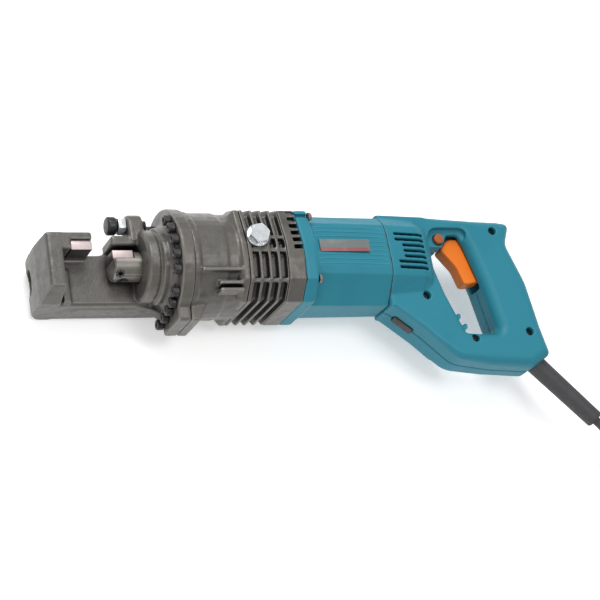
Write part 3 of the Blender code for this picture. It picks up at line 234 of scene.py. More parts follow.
def bright_steel():
    """Turned steel: rings of tool marks along the axis, a brown film of oil and painted shade in corners."""
    made = Finish("bright_steel", (0.160, 0.150, 0.134), 0.34, 0.6)
    made.tint((0.105, 0.094, 0.080), made.spread(made.noise(95.0, 3.0), 0.45, 0.70, 0.0, 0.8))
    made.tint((0.45, 0.43, 0.40), made.spread(made.edges(), 0.53, 0.62, 0.0, 0.5))
    # painted shade: darker where other surfaces close in
    made.tint((0.014, 0.012, 0.011), made.spread(made.openness(0.008), 0.70, 0.25, 0.0, 0.95))
    made.rough(made.noise(900.0, 2.0, (6.0, 0.2, 0.2)), 0.28, 0.44)
    return made.bump(made.noise(1100.0, 1.0, (5.0, 0.1, 0.1)), 0.00010, 0.7).material


def dark_steel():
    """Black-oxide screws, rubbed on their edges, with painted shade in their sockets and corners."""
    made = Finish("dark_steel", (0.022, 0.022, 0.024), 0.34, 0.5)
    made.tint((0.075, 0.072, 0.070), made.spread(made.noise(260.0, 3.0), 0.5, 0.75, 0.0, 0.6))
    made.tint((0.26, 0.25, 0.25), made.spread(made.edges(), 0.54, 0.66, 0.0, 0.45))
    # painted shade: darker where other surfaces close in
    made.tint((0.004, 0.004, 0.004), made.spread(made.openness(0.004), 0.70, 0.30, 0.0, 0.95))
    made.rough(made.noise(500.0), 0.28, 0.5)
    return made.bump(made.noise(1500.0), 0.0001, 0.5).material


def zinc():
    """Bright zinc plate, a little blue, with faint blotches and painted shade in its corners."""
    made = Finish("zinc", (0.70, 0.73, 0.75), 0.2, 0.7)
    made.tint((0.42, 0.52, 0.57), made.spread(made.noise(160.0, 3.0), 0.45, 0.75, 0.0, 0.6))
    # painted shade: darker where other surfaces close in
    made.tint((0.10, 0.12, 0.13), made.spread(made.openness(0.006), 0.60, 0.20, 0.0, 0.9))
    made.rough(made.noise(300.0), 0.14, 0.32)
    return made.bump(made.noise(1200.0, 2.0), 0.00008, 0.5).material


def rubber():
    """Grey-black rubber with a fine matt grain and dust on it."""
    made = Finish("rubber", (0.034, 0.034, 0.037), 0.6)
    made.tint((0.060, 0.059, 0.060), made.spread(made.noise(45.0, 4.0), 0.5, 0.75, 0.0, 0.6))
    made.rough(made.noise(400.0), 0.5, 0.72)
    return made.bump(made.noise(1700.0, 3.0), 0.00025, 0.5).material


def moulded(name, colour, dark, light, roughness):
    """Moulded plastic: a fine spark-eroded grain, uneven colour, rubbed edges and painted shade in grooves."""
    made = Finish(name, colour, roughness, 0.0, PLASTIC_COAT)
    made.shader.inputs["Specular IOR Level"].default_value = PLASTIC_GLOSS
    made.tint(dark, made.spread(made.noise(22.0, 3.0), 0.50, 0.80, 0.0, 0.45))
    made.tint(light, made.spread(made.edges(), 0.515, 0.60, 0.0, 0.40))
    # painted shade: a darker copy of the plastic's colour deep in grooves and corners
    painted_groove_shade = tuple(part * GROOVE_SHADE for part in dark)
    made.tint(painted_groove_shade, made.spread(made.openness(0.0035), 0.62, 0.25, 0.0, 0.80))
    made.rough(made.noise(700.0, 2.0), roughness - 0.06, roughness + 0.08)
    return made.bump(made.noise(2300.0, 2.0), 0.00018, 0.45).material


def windings():
    """Lacquered copper wire over dark laminations."""
    made = Finish("copper", (0.62, 0.26, 0.11), 0.35, 0.8)
    made.tint((0.12, 0.10, 0.09), made.spread(made.noise(320.0, 2.0, (0.3, 6.0, 6.0)), 0.45, 0.6))
    return made.bump(made.noise(900.0, 1.0, (0.2, 5.0, 5.0)), 0.0003, 0.8).material


def printed_plate():
    """The blank badge: grey over a red strip, under clear lacquer."""
    made = Finish("badge", (0.115, 0.130, 0.130), 0.4, 0.0, 0.4)
    made.tint((0.225, 0.060, 0.066), made.spread(made.along("Y"), *BADGE_STRIP))
    made.tint((0.20, 0.22, 0.22), made.spread(made.noise(90.0, 4.0), 0.5, 0.8, 0.0, 0.5))
    made.rough(made.noise(500.0), 0.32, 0.46)
    return made.bump(made.noise(2000.0), 0.00006, 0.4).material


FINISHES = {
    "cast_iron": cast_iron(),
    "tool_steel": blade_steel_with_painted_shade(),
    "dark_steel": dark_steel(),
    "bright_steel": bright_steel(),
    "zinc": zinc(),
    "rubber": rubber(),
    "green_plastic": moulded("green_plastic", (0.015, 0.170, 0.232), (0.008, 0.132, 0.182),
                             (0.060, 0.270, 0.350), 0.46),
    "orange_plastic": moulded("orange_plastic", (0.680, 0.160, 0.012), (0.52, 0.090, 0.008),
                              (0.92, 0.34, 0.06), 0.34),
    "brown_plastic": moulded("brown_plastic", (0.330, 0.085, 0.025), (0.15, 0.040, 0.014),
                             (0.55, 0.19, 0.07), 0.36),
    "black_plastic": moulded("black_plastic", (0.014, 0.014, 0.015), (0.006, 0.006, 0.006),
                             (0.06, 0.06, 0.06), 0.5),
    "badge": printed_plate(),
    "copper": windings(),
}


# ---------------------------------------------------------------- shapes

def arc(centre, radius, start, end, steps):
    """Points on an arc, from start to end in degrees."""
    turns = [radians(start + (end - start) * index / steps) for index in range(steps + 1)]
    return [(centre[0] + radius * cos(angle), centre[1] + radius * sin(angle)) for angle in turns]


def rounded(corners, steps=4):
    """An outline from (a, b, radius) corners, each rounded by an arc of that radius."""
    outline = []
    for index, (a, b, radius) in enumerate(corners):
        if radius <= 0:
            outline.append((a, b))
            continue
        here = Vector((a, b))
        before = Vector(corners[index - 1][:2]) - here
        after = Vector(corners[(index + 1) % len(corners)][:2]) - here
        half = before.angle(after) / 2
        reach = min(radius / tan(half), 0.45 * before.length, 0.45 * after.length)
        radius = reach * tan(half)
        centre = here + (before.normalized() + after.normalized()).normalized() * radius / sin(half)
        first = here + before.normalized() * reach - centre
        last = here + after.normalized() * reach - centre
        start = atan2(first.y, first.x)
        turn = (atan2(last.y, last.x) - start + pi) % (2 * pi) - pi
        outline += arc(centre, radius, degrees(start), degrees(start + turn), steps)
    return outline


def place(along, first, second, axis):
    """A point from its place along an axis and its two coordinates across it."""
    return {"x": (along, first, second), "u": (first, along, second), "n": (first, second, along)}[axis]


SHARP_ANGLE = 38.0        # degrees between faces; a sharper edge is shaded as an edge
BREAK_ANGLE = 35.0        # a sharper edge of a CAD solid is broken
FLAT_ANGLE = 1.0          # flatter than this, two faces are made one
BROKEN_EDGE = 0.3         # width of a broken edge on small metal pieces
WELD = 0.000005           # metres between corners that are one


def shape_mesh(shape, sharp=SHARP_ANGLE):
    """The mesh of a closed bmesh, shaded smooth but for its sharp edges."""
    bmesh.ops.recalc_face_normals(shape, faces=shape.faces)
    mesh = bpy.data.meshes.new("shape")
    shape.to_mesh(mesh)
    shape.free()
    mesh.shade_smooth()
    mesh.set_sharp_from_angle(angle=radians(sharp))
    return mesh


def lathe(profile, axis="x", centre=(0.0, 0.0), steps=48):
    """A solid turned from (station, radius) points, from end to end of the axis."""
    shape = bmesh.new()
    rings = []
    for along, radius in profile:
        if radius <= 0:
            rings.append([shape.verts.new(place(along, *centre, axis))] * steps)
        else:
            rings.append([shape.verts.new(place(along, *point, axis))
                          for point in arc(centre, radius, 0, 360, steps)[:-1]])
    for first, second in zip(rings, rings[1:]):
        for index in range(steps):
            following = (index + 1) % steps
            corners = dict.fromkeys((first[index], first[following], second[following], second[index]))
            shape.faces.new(list(corners))
    return shape_mesh(shape)


def prism(outline, low, high, axis="n", width=0.0, segments=2):
    """An outline extruded from low to high, all its edges rounded by a width."""
    shape = bmesh.new()
    bottom = [shape.verts.new(place(low, a, b, axis)) for a, b in outline]
    top = [shape.verts.new(place(high, a, b, axis)) for a, b in outline]
    shape.faces.new(bottom)
    shape.faces.new(top)
    for index in range(len(outline)):
        following = (index + 1) % len(outline)
        shape.faces.new((bottom[index], bottom[following], top[following], top[index]))
    if width > 0:
        bmesh.ops.bevel(shape, geom=shape.edges[:], offset=width, offset_type="OFFSET",
                        segments=segments, profile=0.5, affect="EDGES", clamp_overlap=True)
    return shape_mesh(shape)


def bar(low, high, width=0.5):
    """A box between two corners, its edges rounded by a width."""
    corners = [(low[0], low[1]), (high[0], low[1]), (high[0], high[1]), (low[0], high[1])]
    return prism(corners, low[2], high[2], "n", width)


def hexagon(radius, centre=(0.0, 0.0), phase=0.0):
    """The corners of a hexagon."""
    return arc(centre, radius, phase, phase + 360, 6)[:-1]


def drilled(mesh, *tools):
    """The mesh without the tools' space."""
    body = bpy.data.objects.new("body", mesh)
    bpy.context.scene.collection.objects.link(body)
    cutters = []
    for tool in tools:
        cutter = bpy.data.objects.new("cutter", tool)
        bpy.context.scene.collection.objects.link(cutter)
        step = body.modifiers.new("cut", "BOOLEAN")
        step.operation = "DIFFERENCE"
        step.solver = "EXACT"
        step.object = cutter
        cutters.append(cutter)
    bpy.context.view_layer.update()
    graph = bpy.context.evaluated_depsgraph_get()
    result = bpy.data.meshes.new_from_object(body.evaluated_get(graph))
    for item in [body, *cutters]:
        bpy.data.objects.remove(item, do_unlink=True)
    result.shade_smooth()
    result.set_sharp_from_angle(angle=radians(SHARP_ANGLE))
    return result


def show(name, mesh, slot, body="tool", stands_for=(), at=None):
    """Add a piece with its slot's finish, on its body; at is its place on the tool's axes."""
    if at is None:
        mesh.transform(TO_ROW)
    made = bpy.data.objects.new(name, mesh)
    bpy.context.scene.collection.objects.link(made)
    if at is not None:
        made.matrix_world = TO_ROW @ Matrix.Translation(at)
    mesh.materials.clear()
    mesh.materials.append(FINISHES[slot])
    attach(made, body)
    if stands_for:
        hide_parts(*stands_for)
    return made


def slot_of(node):
    """The record's material slot of a CAD node."""
    return next(row["material_slot"] for row in frame["record"]["subparts"] if row["node"] == node)


def body_with(node):
    """The body that a CAD node moves with."""
    return next(b for b, members in frame["record"]["behaviour"]["bodies"].items() if node in members)


def solid_of(node):
    """A welded copy of a CAD node's mesh, in millimetres on the tool's axes."""
    shape = bmesh.new()
    shape.from_mesh(NODES[node].data)
    bmesh.ops.remove_doubles(shape, verts=shape.verts, dist=WELD)
    mesh = bpy.data.meshes.new(node)
    shape.to_mesh(mesh)
    shape.free()
    mesh.transform(FROM_ROW)
    return mesh


def flowed(meshes, voxel, rounds, mould=None):
    """Solids run together into one skin of small faces, moved by a rule, its edges smoothed off."""
    shape = bmesh.new()
    for mesh in meshes:
        shape.from_mesh(mesh)
    joined = bpy.data.meshes.new("joined")
    shape.to_mesh(joined)
    shape.free()
    body = bpy.data.objects.new("body", joined)
    bpy.context.scene.collection.objects.link(body)
    skin = body.modifiers.new("skin", "REMESH")
    skin.mode = "VOXEL"
    skin.voxel_size = voxel
    if mould is not None:
        bpy.context.view_layer.update()
        graph = bpy.context.evaluated_depsgraph_get()
        body.data = bpy.data.meshes.new_from_object(body.evaluated_get(graph))
        body.modifiers.clear()
        points = np.zeros(len(body.data.vertices) * 3)
        body.data.vertices.foreach_get("co", points)
        body.data.vertices.foreach_set("co", mould(points.reshape(-1, 3)).ravel())
    soften = body.modifiers.new("soften", "SMOOTH")
    soften.factor = 0.5
    soften.iterations = rounds
    bpy.context.view_layer.update()
    graph = bpy.context.evaluated_depsgraph_get()
    result = bpy.data.meshes.new_from_object(body.evaluated_get(graph))
    bpy.data.objects.remove(body, do_unlink=True)
    result.shade_smooth()
    return result


def softened(node, width=0.35, segments=2):
    """A CAD node's own solid with its edges broken, as a piece that stands for it."""
    shape = bmesh.new()
    shape.from_mesh(solid_of(node))
    bmesh.ops.dissolve_limit(shape, angle_limit=radians(FLAT_ANGLE), verts=shape.verts, edges=shape.edges)
    sharp = [edge for edge in shape.edges
             if len(edge.link_faces) == 2 and edge.calc_face_angle() > radians(BREAK_ANGLE)]
    bmesh.ops.bevel(shape, geom=sharp, offset=width, offset_type="OFFSET", segments=segments,
                    profile=0.5, affect="EDGES", clamp_overlap=True)
    return show(f"{node}_look", shape_mesh(shape, 32.0), slot_of(node), body_with(node), (node,))


# ---------------------------------------------------------------- cord

CORD_RADIUS = 4.0
CORD_LOW = GROUND + CORD_RADIUS + 0.2
CORD_PITCH = 8.3          # one turn of the coil to the next
COIL_CENTRE = Vector((590.0, -160.0))
COIL_TURNS = (53.0, 53.0 - CORD_PITCH, 53.0 - 2 * CORD_PITCH)
COIL_JOIN = 61.6          # where the cord runs beside the coil
GUARD_ANGLE = -47.0
GUARD_LENGTH = 74.0
GUARD_ROOT = Vector((HANDLE_FRONT + 143.0, -94.2))
PLUG_PLACE = (617.0, -82.0)
PLUG_LEVEL = GROUND + 13.0
PIN_OFFSET = 9.4          # from the plug's middle to each pin


def eased(value, start, end):
    """From 0 before start to 1 after end, smoothly."""
    t = min(1.0, max(0.0, (value - start) / (end - start)))
    return t * t * (3 - 2 * t)


def coil_points():
    """Three turns inward along the ground, then three outward on top of them, and off the coil."""
    outer, middle, inner = COIL_TURNS
    jogs = [(-90, -35, outer - COIL_JOIN), (265, 325, middle - outer), (625, 685, inner - middle),
            (1315, 1375, middle - inner), (1675, 1735, outer - middle), (2035, 2095, COIL_JOIN - outer)]
    points = []
    for angle in range(-75, 2160, 15):
        reach = COIL_JOIN + sum(step * eased(angle, start, end) for start, end, step in jogs)
        height = CORD_LOW + (CORD_PITCH - 0.1) * (eased(angle, 925, 1015) - eased(angle, 2112, 2160))
        points.append((COIL_CENTRE.x + reach * cos(radians(angle)),
                       COIL_CENTRE.y + reach * sin(radians(angle)), height))
    return points


def cord_route():
    """From the guard down to the ground, round the coil and on to the plug."""
    direction = Vector((cos(radians(GUARD_ANGLE)), sin(radians(GUARD_ANGLE))))
    start = GUARD_ROOT + direction * (GUARD_LENGTH + 0.6)
    lead = [(*start, 0.0), (508.2, -155.6, -0.6), (518.0, -166.5, -6.0), (527.0, -177.5, -15.0),
            (535.0, -189.0, -27.0), (543.0, -200.0, -37.0), (552.0, -209.5, -41.8),
            (563.0, -216.8, CORD_LOW), (576.0, -220.8, CORD_LOW), (590.0, -221.6, CORD_LOW)]
    tail = [(651.6, -160.0, CORD_LOW), (651.6, -145.0, CORD_LOW), (650.0, -128.0, CORD_LOW + 0.5),
            (646.5, -111.0, CORD_LOW + 2.0), (640.0, -96.5, CORD_LOW + 5.0),
            (631.5, -86.0, PLUG_LEVEL - 1.0), (625.0, -82.0, PLUG_LEVEL), (617.6, -82.0, PLUG_LEVEL)]
    return lead + coil_points() + tail


def smooth_route(points, per_span=4):
    """Points on one smooth curve through the route's own points."""
    ends = [2 * Vector(points[0]) - Vector(points[1])]
    ends += [Vector(point) for point in points]
    ends.append(2 * Vector(points[-1]) - Vector(points[-2]))
    curve = []
    for a, b, c, d in zip(ends, ends[1:], ends[2:], ends[3:]):
        for step in range(per_span):
            t = step / per_span
            curve.append(0.5 * (2 * b + (c - a) * t + (2 * a - 5 * b + 4 * c - d) * t ** 2
                                + (3 * b - a - 3 * c + d) * t ** 3))
    curve.append(Vector(points[-1]))
    return curve


def make_cord():
    """The mains lead as one curve, its guard and its plug."""
    line = bpy.data.curves.new("mains_cord", "CURVE")
    line.dimensions = "3D"
    line.bevel_depth = CORD_RADIUS * MM
    line.bevel_resolution = 5
    line.use_fill_caps = True
    points = [TO_ROW @ point for point in smooth_route(cord_route())]
    spline = line.splines.new("POLY")
    spline.points.add(len(points) - 1)
    for spot, point in zip(spline.points, points):
        spot.co = (*point, 1.0)
    spline.use_smooth = True
    line.materials.append(FINISHES["rubber"])
    cord = bpy.data.objects.new("mains_cord", line)
    bpy.context.scene.collection.objects.link(cord)
    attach(cord, "tool")
    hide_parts("cord_lead", "cord_coil", "cord_tail")
    guard = make_guard()
    plug, pins = make_plug()


def make_guard():
    """The long tapered guard round the cord where it leaves the handle."""
    profile = [(-8.0, 0.0), (-8.0, 8.7), (-7.5, 9.0), (2.0, 9.0)]
    for index in range(30):
        along = 2.0 + (GUARD_LENGTH - 4.0) * (index + 1) / 30
        profile.append((along, 9.0 - 0.8 * along / GUARD_LENGTH))
    profile += [(GUARD_LENGTH - 0.8, 7.9), (GUARD_LENGTH - 0.2, 7.3), (GUARD_LENGTH, 6.4),
                (GUARD_LENGTH, 0.0)]
    mesh = lathe(profile, steps=40)
    turned = Matrix.Translation((*GUARD_ROOT, 0.0)) @ Matrix.Rotation(radians(GUARD_ANGLE), 4, "Z")
    mesh.transform(turned)
    return show("cord_guard_look", mesh, "rubber", stands_for=("cord_guard",))


def make_plug():
    """A plain round two-pin plug: ribbed grip and two rounded pins."""
    x, u = PLUG_PLACE
    profile = [(x, 0.0), (x, 5.2), (x - 0.8, 6.0)]
    for index in range(4):
        front = x - 2.0 - 2.6 * index
        profile += [(front, 6.6 + 0.3 * index), (front - 0.5, 7.4 + 0.3 * index),
                    (front - 1.3, 7.4 + 0.3 * index), (front - 1.8, 6.6 + 0.3 * index)]
    profile += [(x - 13.0, 8.4), (x - 15.0, 11.2), (x - 17.0, 12.6), (x - 19.0, 12.95),
                (x - 37.5, 12.95), (x - 39.2, 12.4), (x - 40.0, 11.2), (x - 40.0, 0.0)]
    body = show("plug_body", lathe(profile, centre=(u, PLUG_LEVEL)), "rubber", stands_for=("plug",))
    pins = bmesh.new()
    for side in (-PIN_OFFSET, PIN_OFFSET):
        pin = [(x - 39.0, 0.0), (x - 39.0, 2.4), (x - 57.0, 2.4), (x - 58.2, 1.9), (x - 58.9, 0.9),
               (x - 59.0, 0.0)]
        pins.from_mesh(lathe(pin, centre=(u + side, PLUG_LEVEL), steps=24))
    return body, show("plug_pins", shape_mesh(pins), "zinc")


# ---------------------------------------------------------------- castings

CAST_VOXEL = 0.9          # small faces of the large castings' skins
CAST_ROUNDS = 5
FIN_VOXEL = 0.7           # and of the finned ones
FIN_ROUNDS = 4
# Corners of the slot in the nose, across and up.
NOSE_SLOT = [(-14.0, -39.5), (9.5, -39.5), (9.5, -24.5), (-14.0, -24.5)]
NOSE_SLOT_ROUND = 7.0
NOSE_SLOT_DEPTH = 12.0


def make_castings():
    """Jaw frame, cylinder, pump and gear case with the soft edges and fillets of a casting."""
    panel = bar((34.0, -29.9, -35.0), (92.0, -26.0, -21.5), 0.8)
    gusset = prism([(86.0, -29.0), (FLANGE_FRONT + 1, -29.0), (FLANGE_FRONT + 1, -36.0)],
                   -30.0, -16.0, "n", 0.5)
    slot = rounded([(u, n, NOSE_SLOT_ROUND) for u, n in NOSE_SLOT])
    nose_slot = prism(slot, -1.0, NOSE_SLOT_DEPTH, "x")
    frame_solid = drilled(solid_of("jaw_frame"), nose_slot)
    show("jaw_frame_look", flowed([frame_solid, panel, gusset], CAST_VOXEL, CAST_ROUNDS),
         "cast_iron", stands_for=("jaw_frame",))
    show("cylinder_case_look", flowed([solid_of("cylinder_case")], CAST_VOXEL, CAST_ROUNDS),
         "cast_iron", stands_for=("cylinder_case",))
    for node in ("pump_case", "gear_case"):
        show(f"{node}_look", flowed([solid_of(node)], FIN_VOXEL, FIN_ROUNDS), "cast_iron",
             stands_for=(node,))


BOLT_CIRCLE = 42.0
BOLT_DRIFT = 0.3          # how much further out for each degree past the half turn
UPPER_BOLTS = [44.0 + 17.5 * index for index in range(5)]  # degrees round the axis
LOWER_BOLTS = [141.0 + 15.5 * index for index in range(5)]
FAR_BOLTS = [-22.0, -35.0]


def make_flange_bolts():
    """Socket-head bolts round the flange; the two on the far side are only here."""
    head = lathe([(-5.8, 0.0), (-5.8, 3.7), (-5.6, 4.1), (-5.1, 4.45), (-4.6, 4.5), (-0.5, 4.5),
                  (-0.3, 4.3), (-0.3, 3.0), (6.0, 3.0), (6.0, 0.0)], steps=36)
    mesh = drilled(head, prism(hexagon(2.5), -7.0, -2.6, "x"),
                   lathe([(-7.0, 0.0), (-7.0, 3.2), (-5.0, 2.1), (-5.0, 0.0)], steps=24))
    for index, angle in enumerate(UPPER_BOLTS + LOWER_BOLTS + FAR_BOLTS):
        reach = BOLT_CIRCLE + max(0.0, angle - 180.0) * BOLT_DRIFT
        centre = (FLANGE_FRONT, reach * cos(radians(angle)), reach * sin(radians(angle)))
        node = f"flange_bolt_{index + 1:02d}"
        stands_for = (node,) if node in NODES else ()
        show(f"{node}_look", mesh, "dark_steel", stands_for=stands_for, at=centre)


OIL_PLUG_PLACE = (station("pump_case", 0) + 10.0, 9.4)
OIL_PLUG_HEAD = 9.2       # middle to corner
OIL_PLUG_TURN = 10.0      # degrees


def make_oil_plug():
    """Bright hexagon plug with a washer face and a chamfered crown."""
    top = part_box("oil_plug")[1].z / MM + GROUND
    x, u = OIL_PLUG_PLACE
    washer = lathe([(top - 12.0, 0.0), (top - 12.0, 5.0), (top - 7.3, 5.0), (top - 7.3, 9.7),
                    (top - 7.1, 9.9), (top - 6.2, 9.9), (top - 6.0, 9.7), (top - 6.0, 0.0)],
                   "n", (x, u), 48)
    head = drilled(prism(hexagon(OIL_PLUG_HEAD, (x, u), OIL_PLUG_TURN), top - 6.1, top),
                   lathe([(top - 1.5, 12.0), (top - 1.5, 10.0), (top + 0.01, 7.7), (top + 1.0, 6.8),
                          (top + 1.0, 12.0), (top - 1.5, 12.0)], "n", (x, u), 48))
    shape = bmesh.new()
    shape.from_mesh(washer)
    shape.from_mesh(head)
    show("oil_plug_look", shape_mesh(shape, 25.0), "zinc", stands_for=("oil_plug",))


# ---------------------------------------------------------------- motor casing

MOTOR_HALF_FRONT = 38.5
MOTOR_HALF_REAR = 34.5
MOTOR_VOXEL = 0.95
MOTOR_ROUNDS = 4
RIB_COUNT = 9
RIB_FIRST = 23.5          # across the tool, to the first rib
RIB_PITCH = 4.3
RIB_HEIGHT = 0.45
RIB_SPANS = 12            # steps along a rib
# Across the rib, and the share of its height.
RIB_SECTION = [(-0.75, -0.5), (-0.45, 0.75), (0.0, 1.0), (0.45, 0.75), (0.75, -0.5)]
# The black ring of painted shadow, its outer and inner disc: share of the casing's outline, and half length.
JOINT_SHADOW_RING = [(0.985, 0.9), (0.94, 2.0)]
SCREW_PLACES = [(31.0, 38.0), (-27.0, 40.5), (31.0, -38.0), (-27.0, -40.5)]


def motor_side(x, u):
    """How far out the motor casing's side lies at a place on its large facet."""
    share = (x - MOTOR_FRONT - 4.0) / (MOTOR_REAR - MOTOR_FRONT - 4.0)
    half = MOTOR_HALF_FRONT + (MOTOR_HALF_REAR - MOTOR_HALF_FRONT) * share
    return half * (0.93 + 0.07 * (20.0 - u) / 33.0 if u <= 20.0 else 0.93 - 0.06 * (u - 20.0) / 7.5)


def rib_strip(shape, u, front, rear, side):
    """One fine rib along the casing's side: a low rounded strip with tapered ends."""
    rings = []
    for index in range(RIB_SPANS + 1):
        x = front + (rear - front) * index / RIB_SPANS
        height = RIB_HEIGHT * eased(min(index, RIB_SPANS - index), -0.3, 1.2)
        ring = []
        for across, rise in RIB_SECTION:
            out = motor_side(x, u) + (height * rise if rise > 0 else rise)
            ring.append(shape.verts.new((x, u + across, side * out)))
        rings.append(ring)
    shape.faces.new(rings[0])
    shape.faces.new(rings[-1])
    for first, second in zip(rings, rings[1:]):
        for index in range(len(RIB_SECTION)):
            following = (index + 1) % len(RIB_SECTION)
            shape.faces.new((first[index], first[following], second[following], second[index]))


def make_joint_shadow_line():
    """A black ring just under the skin, a painted shadow where the casing meets the handle."""
    rim = [FROM_ROW @ vertex.co for vertex in NODES["motor_housing"].data.vertices]
    rim = [(point.y, point.z) for point in rim if abs(point.x - MOTOR_REAR) < 0.1]
    hull = [rim[index] for index in convex_hull_2d(rim)]
    discs = []
    for share, reach in JOINT_SHADOW_RING:
        outline = [(a * share, b * share) for a, b in hull]
        discs.append(prism(outline, MOTOR_REAR - reach, MOTOR_REAR + reach, "x"))
    show("joint_shadow_line", drilled(*discs), "black_plastic")


def make_motor_casing():
    """Moulded motor casing with fine ribs along its sides, its screws and its blank badge."""
    show("motor_housing_look", flowed([solid_of("motor_housing")], MOTOR_VOXEL, MOTOR_ROUNDS),
         "green_plastic", stands_for=("motor_housing",))
    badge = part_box("name_plate")
    badge_ends = [(corner.x - NOSE) / MM for corner in badge]
    badge_sides = [corner.y / MM for corner in badge]
    shape = bmesh.new()
    for side in (1, -1):
        for index in range(RIB_COUNT):
            u = RIB_FIRST - RIB_PITCH * index
            beside_badge = side == 1 and badge_sides[0] - 1.2 < u < badge_sides[1] + 1.2
            front = badge_ends[1] + 1.5 if beside_badge else MOTOR_SHOULDER + 5.0
            rib_strip(shape, u, front, MOTOR_REAR - 3.5, side)
    show("motor_ribs", shape_mesh(shape, 50.0), "green_plastic")
    softened("name_plate", BROKEN_EDGE)
    make_joint_shadow_line()
    pan = lathe([(0.3, 0.0), (0.3, 3.8), (1.6, 3.8), (2.6, 3.5), (3.4, 2.8), (3.9, 1.6), (4.0, 0.0)],
                steps=36)
    mesh = drilled(pan, bar((2.6, -0.5, -2.4), (5.0, 0.5, 2.4), 0.1),
                   bar((2.6, -2.4, -0.5), (5.0, 2.4, 0.5), 0.1))
    for index, (u, n) in enumerate(SCREW_PLACES):
        name = f"motor_screw_{index + 1}"
        show(f"{name}_look", mesh, "bright_steel", stands_for=(name,), at=(MOTOR_SHOULDER, u, n))


# ---------------------------------------------------------------- handle

HANDLE_VOXEL = 0.9
HANDLE_ROUNDS = 5
TRIGGER_VOXEL = 0.5
TRIGGER_ROUNDS = 30
HANDLE_HALF = 20.0
HANDLE_LOW = -98.5
GRIP_REAR = 141.0
EDGE_ROUND = 9.5
# The claws that hold the wrench: along from the handle's front and across, then from where to where up.
CLAWS = [(62.5, -53.5), (67.5, -63.0)]
CLAW_REACH = (8.5, 14.0)
HANDLE_SCREWS = [(36.2, -34.4), (77.0, -74.7), (GRIP_REAR - 8.5, -69.7), (GRIP_REAR - 26.7, 27.3)]


def handle_corners(corners):
    """(along, up, radius) corners measured from the handle's front face, as an outline."""
    return rounded([(HANDLE_FRONT + along, up, radius) for along, up, radius in corners], 6)


def handle_outline():
    """Side view of the handle: flat top, hooked grip, and the lower strut."""
    return handle_corners([
        (0.0, 42.4, 0), (GRIP_REAR - 19.0, 38.4, 30.0), (GRIP_REAR - 4.5, 36.5, 6.0),
        (GRIP_REAR - 12.6, 15.5, 12.0), (GRIP_REAR, -21.0, 60.0), (GRIP_REAR + 6.0, -64.0, 60.0),
        (GRIP_REAR + 11.2, HANDLE_LOW + 8.5, 5.0), (GRIP_REAR - 8.5, HANDLE_LOW - 3.0, 6.0),
        (93.0, HANDLE_LOW, 40.0), (58.0, HANDLE_LOW + 5.5, 25.0), (30.0, -66.0, 30.0),
        (4.0, -44.8, 20.0), (0.0, -44.0, 0)])


def hand_hole():
    """The opening for the fingers, with a notch above the trigger."""
    return handle_corners([
        (48.7, 13.0, 4.0), (48.7, -8.0, 12.0), (55.5, -32.0, 40.0), (70.5, HANDLE_LOW + 30.0, 4.0),
        (GRIP_REAR - 36.5, HANDLE_LOW + 29.0, 6.0), (GRIP_REAR - 45.0, -22.0, 30.0),
        (GRIP_REAR - 55.0, 14.0, 8.0), (81.0, 25.5, 3.0), (70.0, 25.5, 3.0), (63.0, 13.0, 1.5)])


def reach_to(points, path):
    """Each point's distance in plan to the nearest part of a path."""
    nearest = np.full(len(points), np.inf)
    for a, b in zip(path, path[1:]):
        start = np.array(a)
        side = np.array(b) - start
        if side @ side < 1e-9:
            continue
        share = np.clip(((points - start) @ side) / (side @ side), 0.0, 1.0)
        nearest = np.minimum(nearest, np.linalg.norm(points - start - share[:, None] * side, axis=1))
    return nearest


def round_handle(points):
    """Press the handle's side faces down to a round towards its edges, fuller on the grip."""
    plan = points[:, :2]
    along = points[:, 0] - HANDLE_FRONT
    half = np.interp(along, [0.0, 33.0, 41.0, 48.0, 60.0], [MOTOR_HALF_REAR, 30.5, 26.5, 20.5, HANDLE_HALF])
    hole = hand_hole()
    outer_round = np.interp(along, [0.0, 25.0, 60.0, 100.0], [1.0, 4.0, 6.5, EDGE_ROUND])
    hole_round = np.interp(along, [50.0, 85.0], [5.0, EDGE_ROUND])
    limit = np.full(len(points), np.inf)
    for radius, path in ((outer_round, handle_outline()), (hole_round, hole + hole[:1])):
        near = np.clip(radius - reach_to(plan, path), 0.0, radius)
        pressed = half - radius + np.sqrt(np.maximum(radius ** 2 - near ** 2, 0.0))
        limit = np.where(near > 0.0, np.minimum(limit, pressed), limit)
    moved = points.copy()
    moved[:, 2] = np.clip(points[:, 2], -limit, limit)
    return moved


def make_wrench_hooks():
    """Two small claws on the near shell, in the hand hole, that hold the hexagon wrench."""
    shape = bmesh.new()
    for along, u in CLAWS:
        x = HANDLE_FRONT + along
        outline = [(x - 5.0, u - 4.4), (x + 2.4, u - 3.6), (x + 6.0, u - 0.6), (x + 6.4, u + 3.2),
                   (x + 3.8, u + 3.6), (x + 3.4, u + 1.0), (x + 1.0, u + 1.6), (x - 5.0, u + 5.6)]
        shape.from_mesh(prism(outline, *CLAW_REACH, "n", 0.5))
    show("wrench_hooks", shape_mesh(shape), "green_plastic")


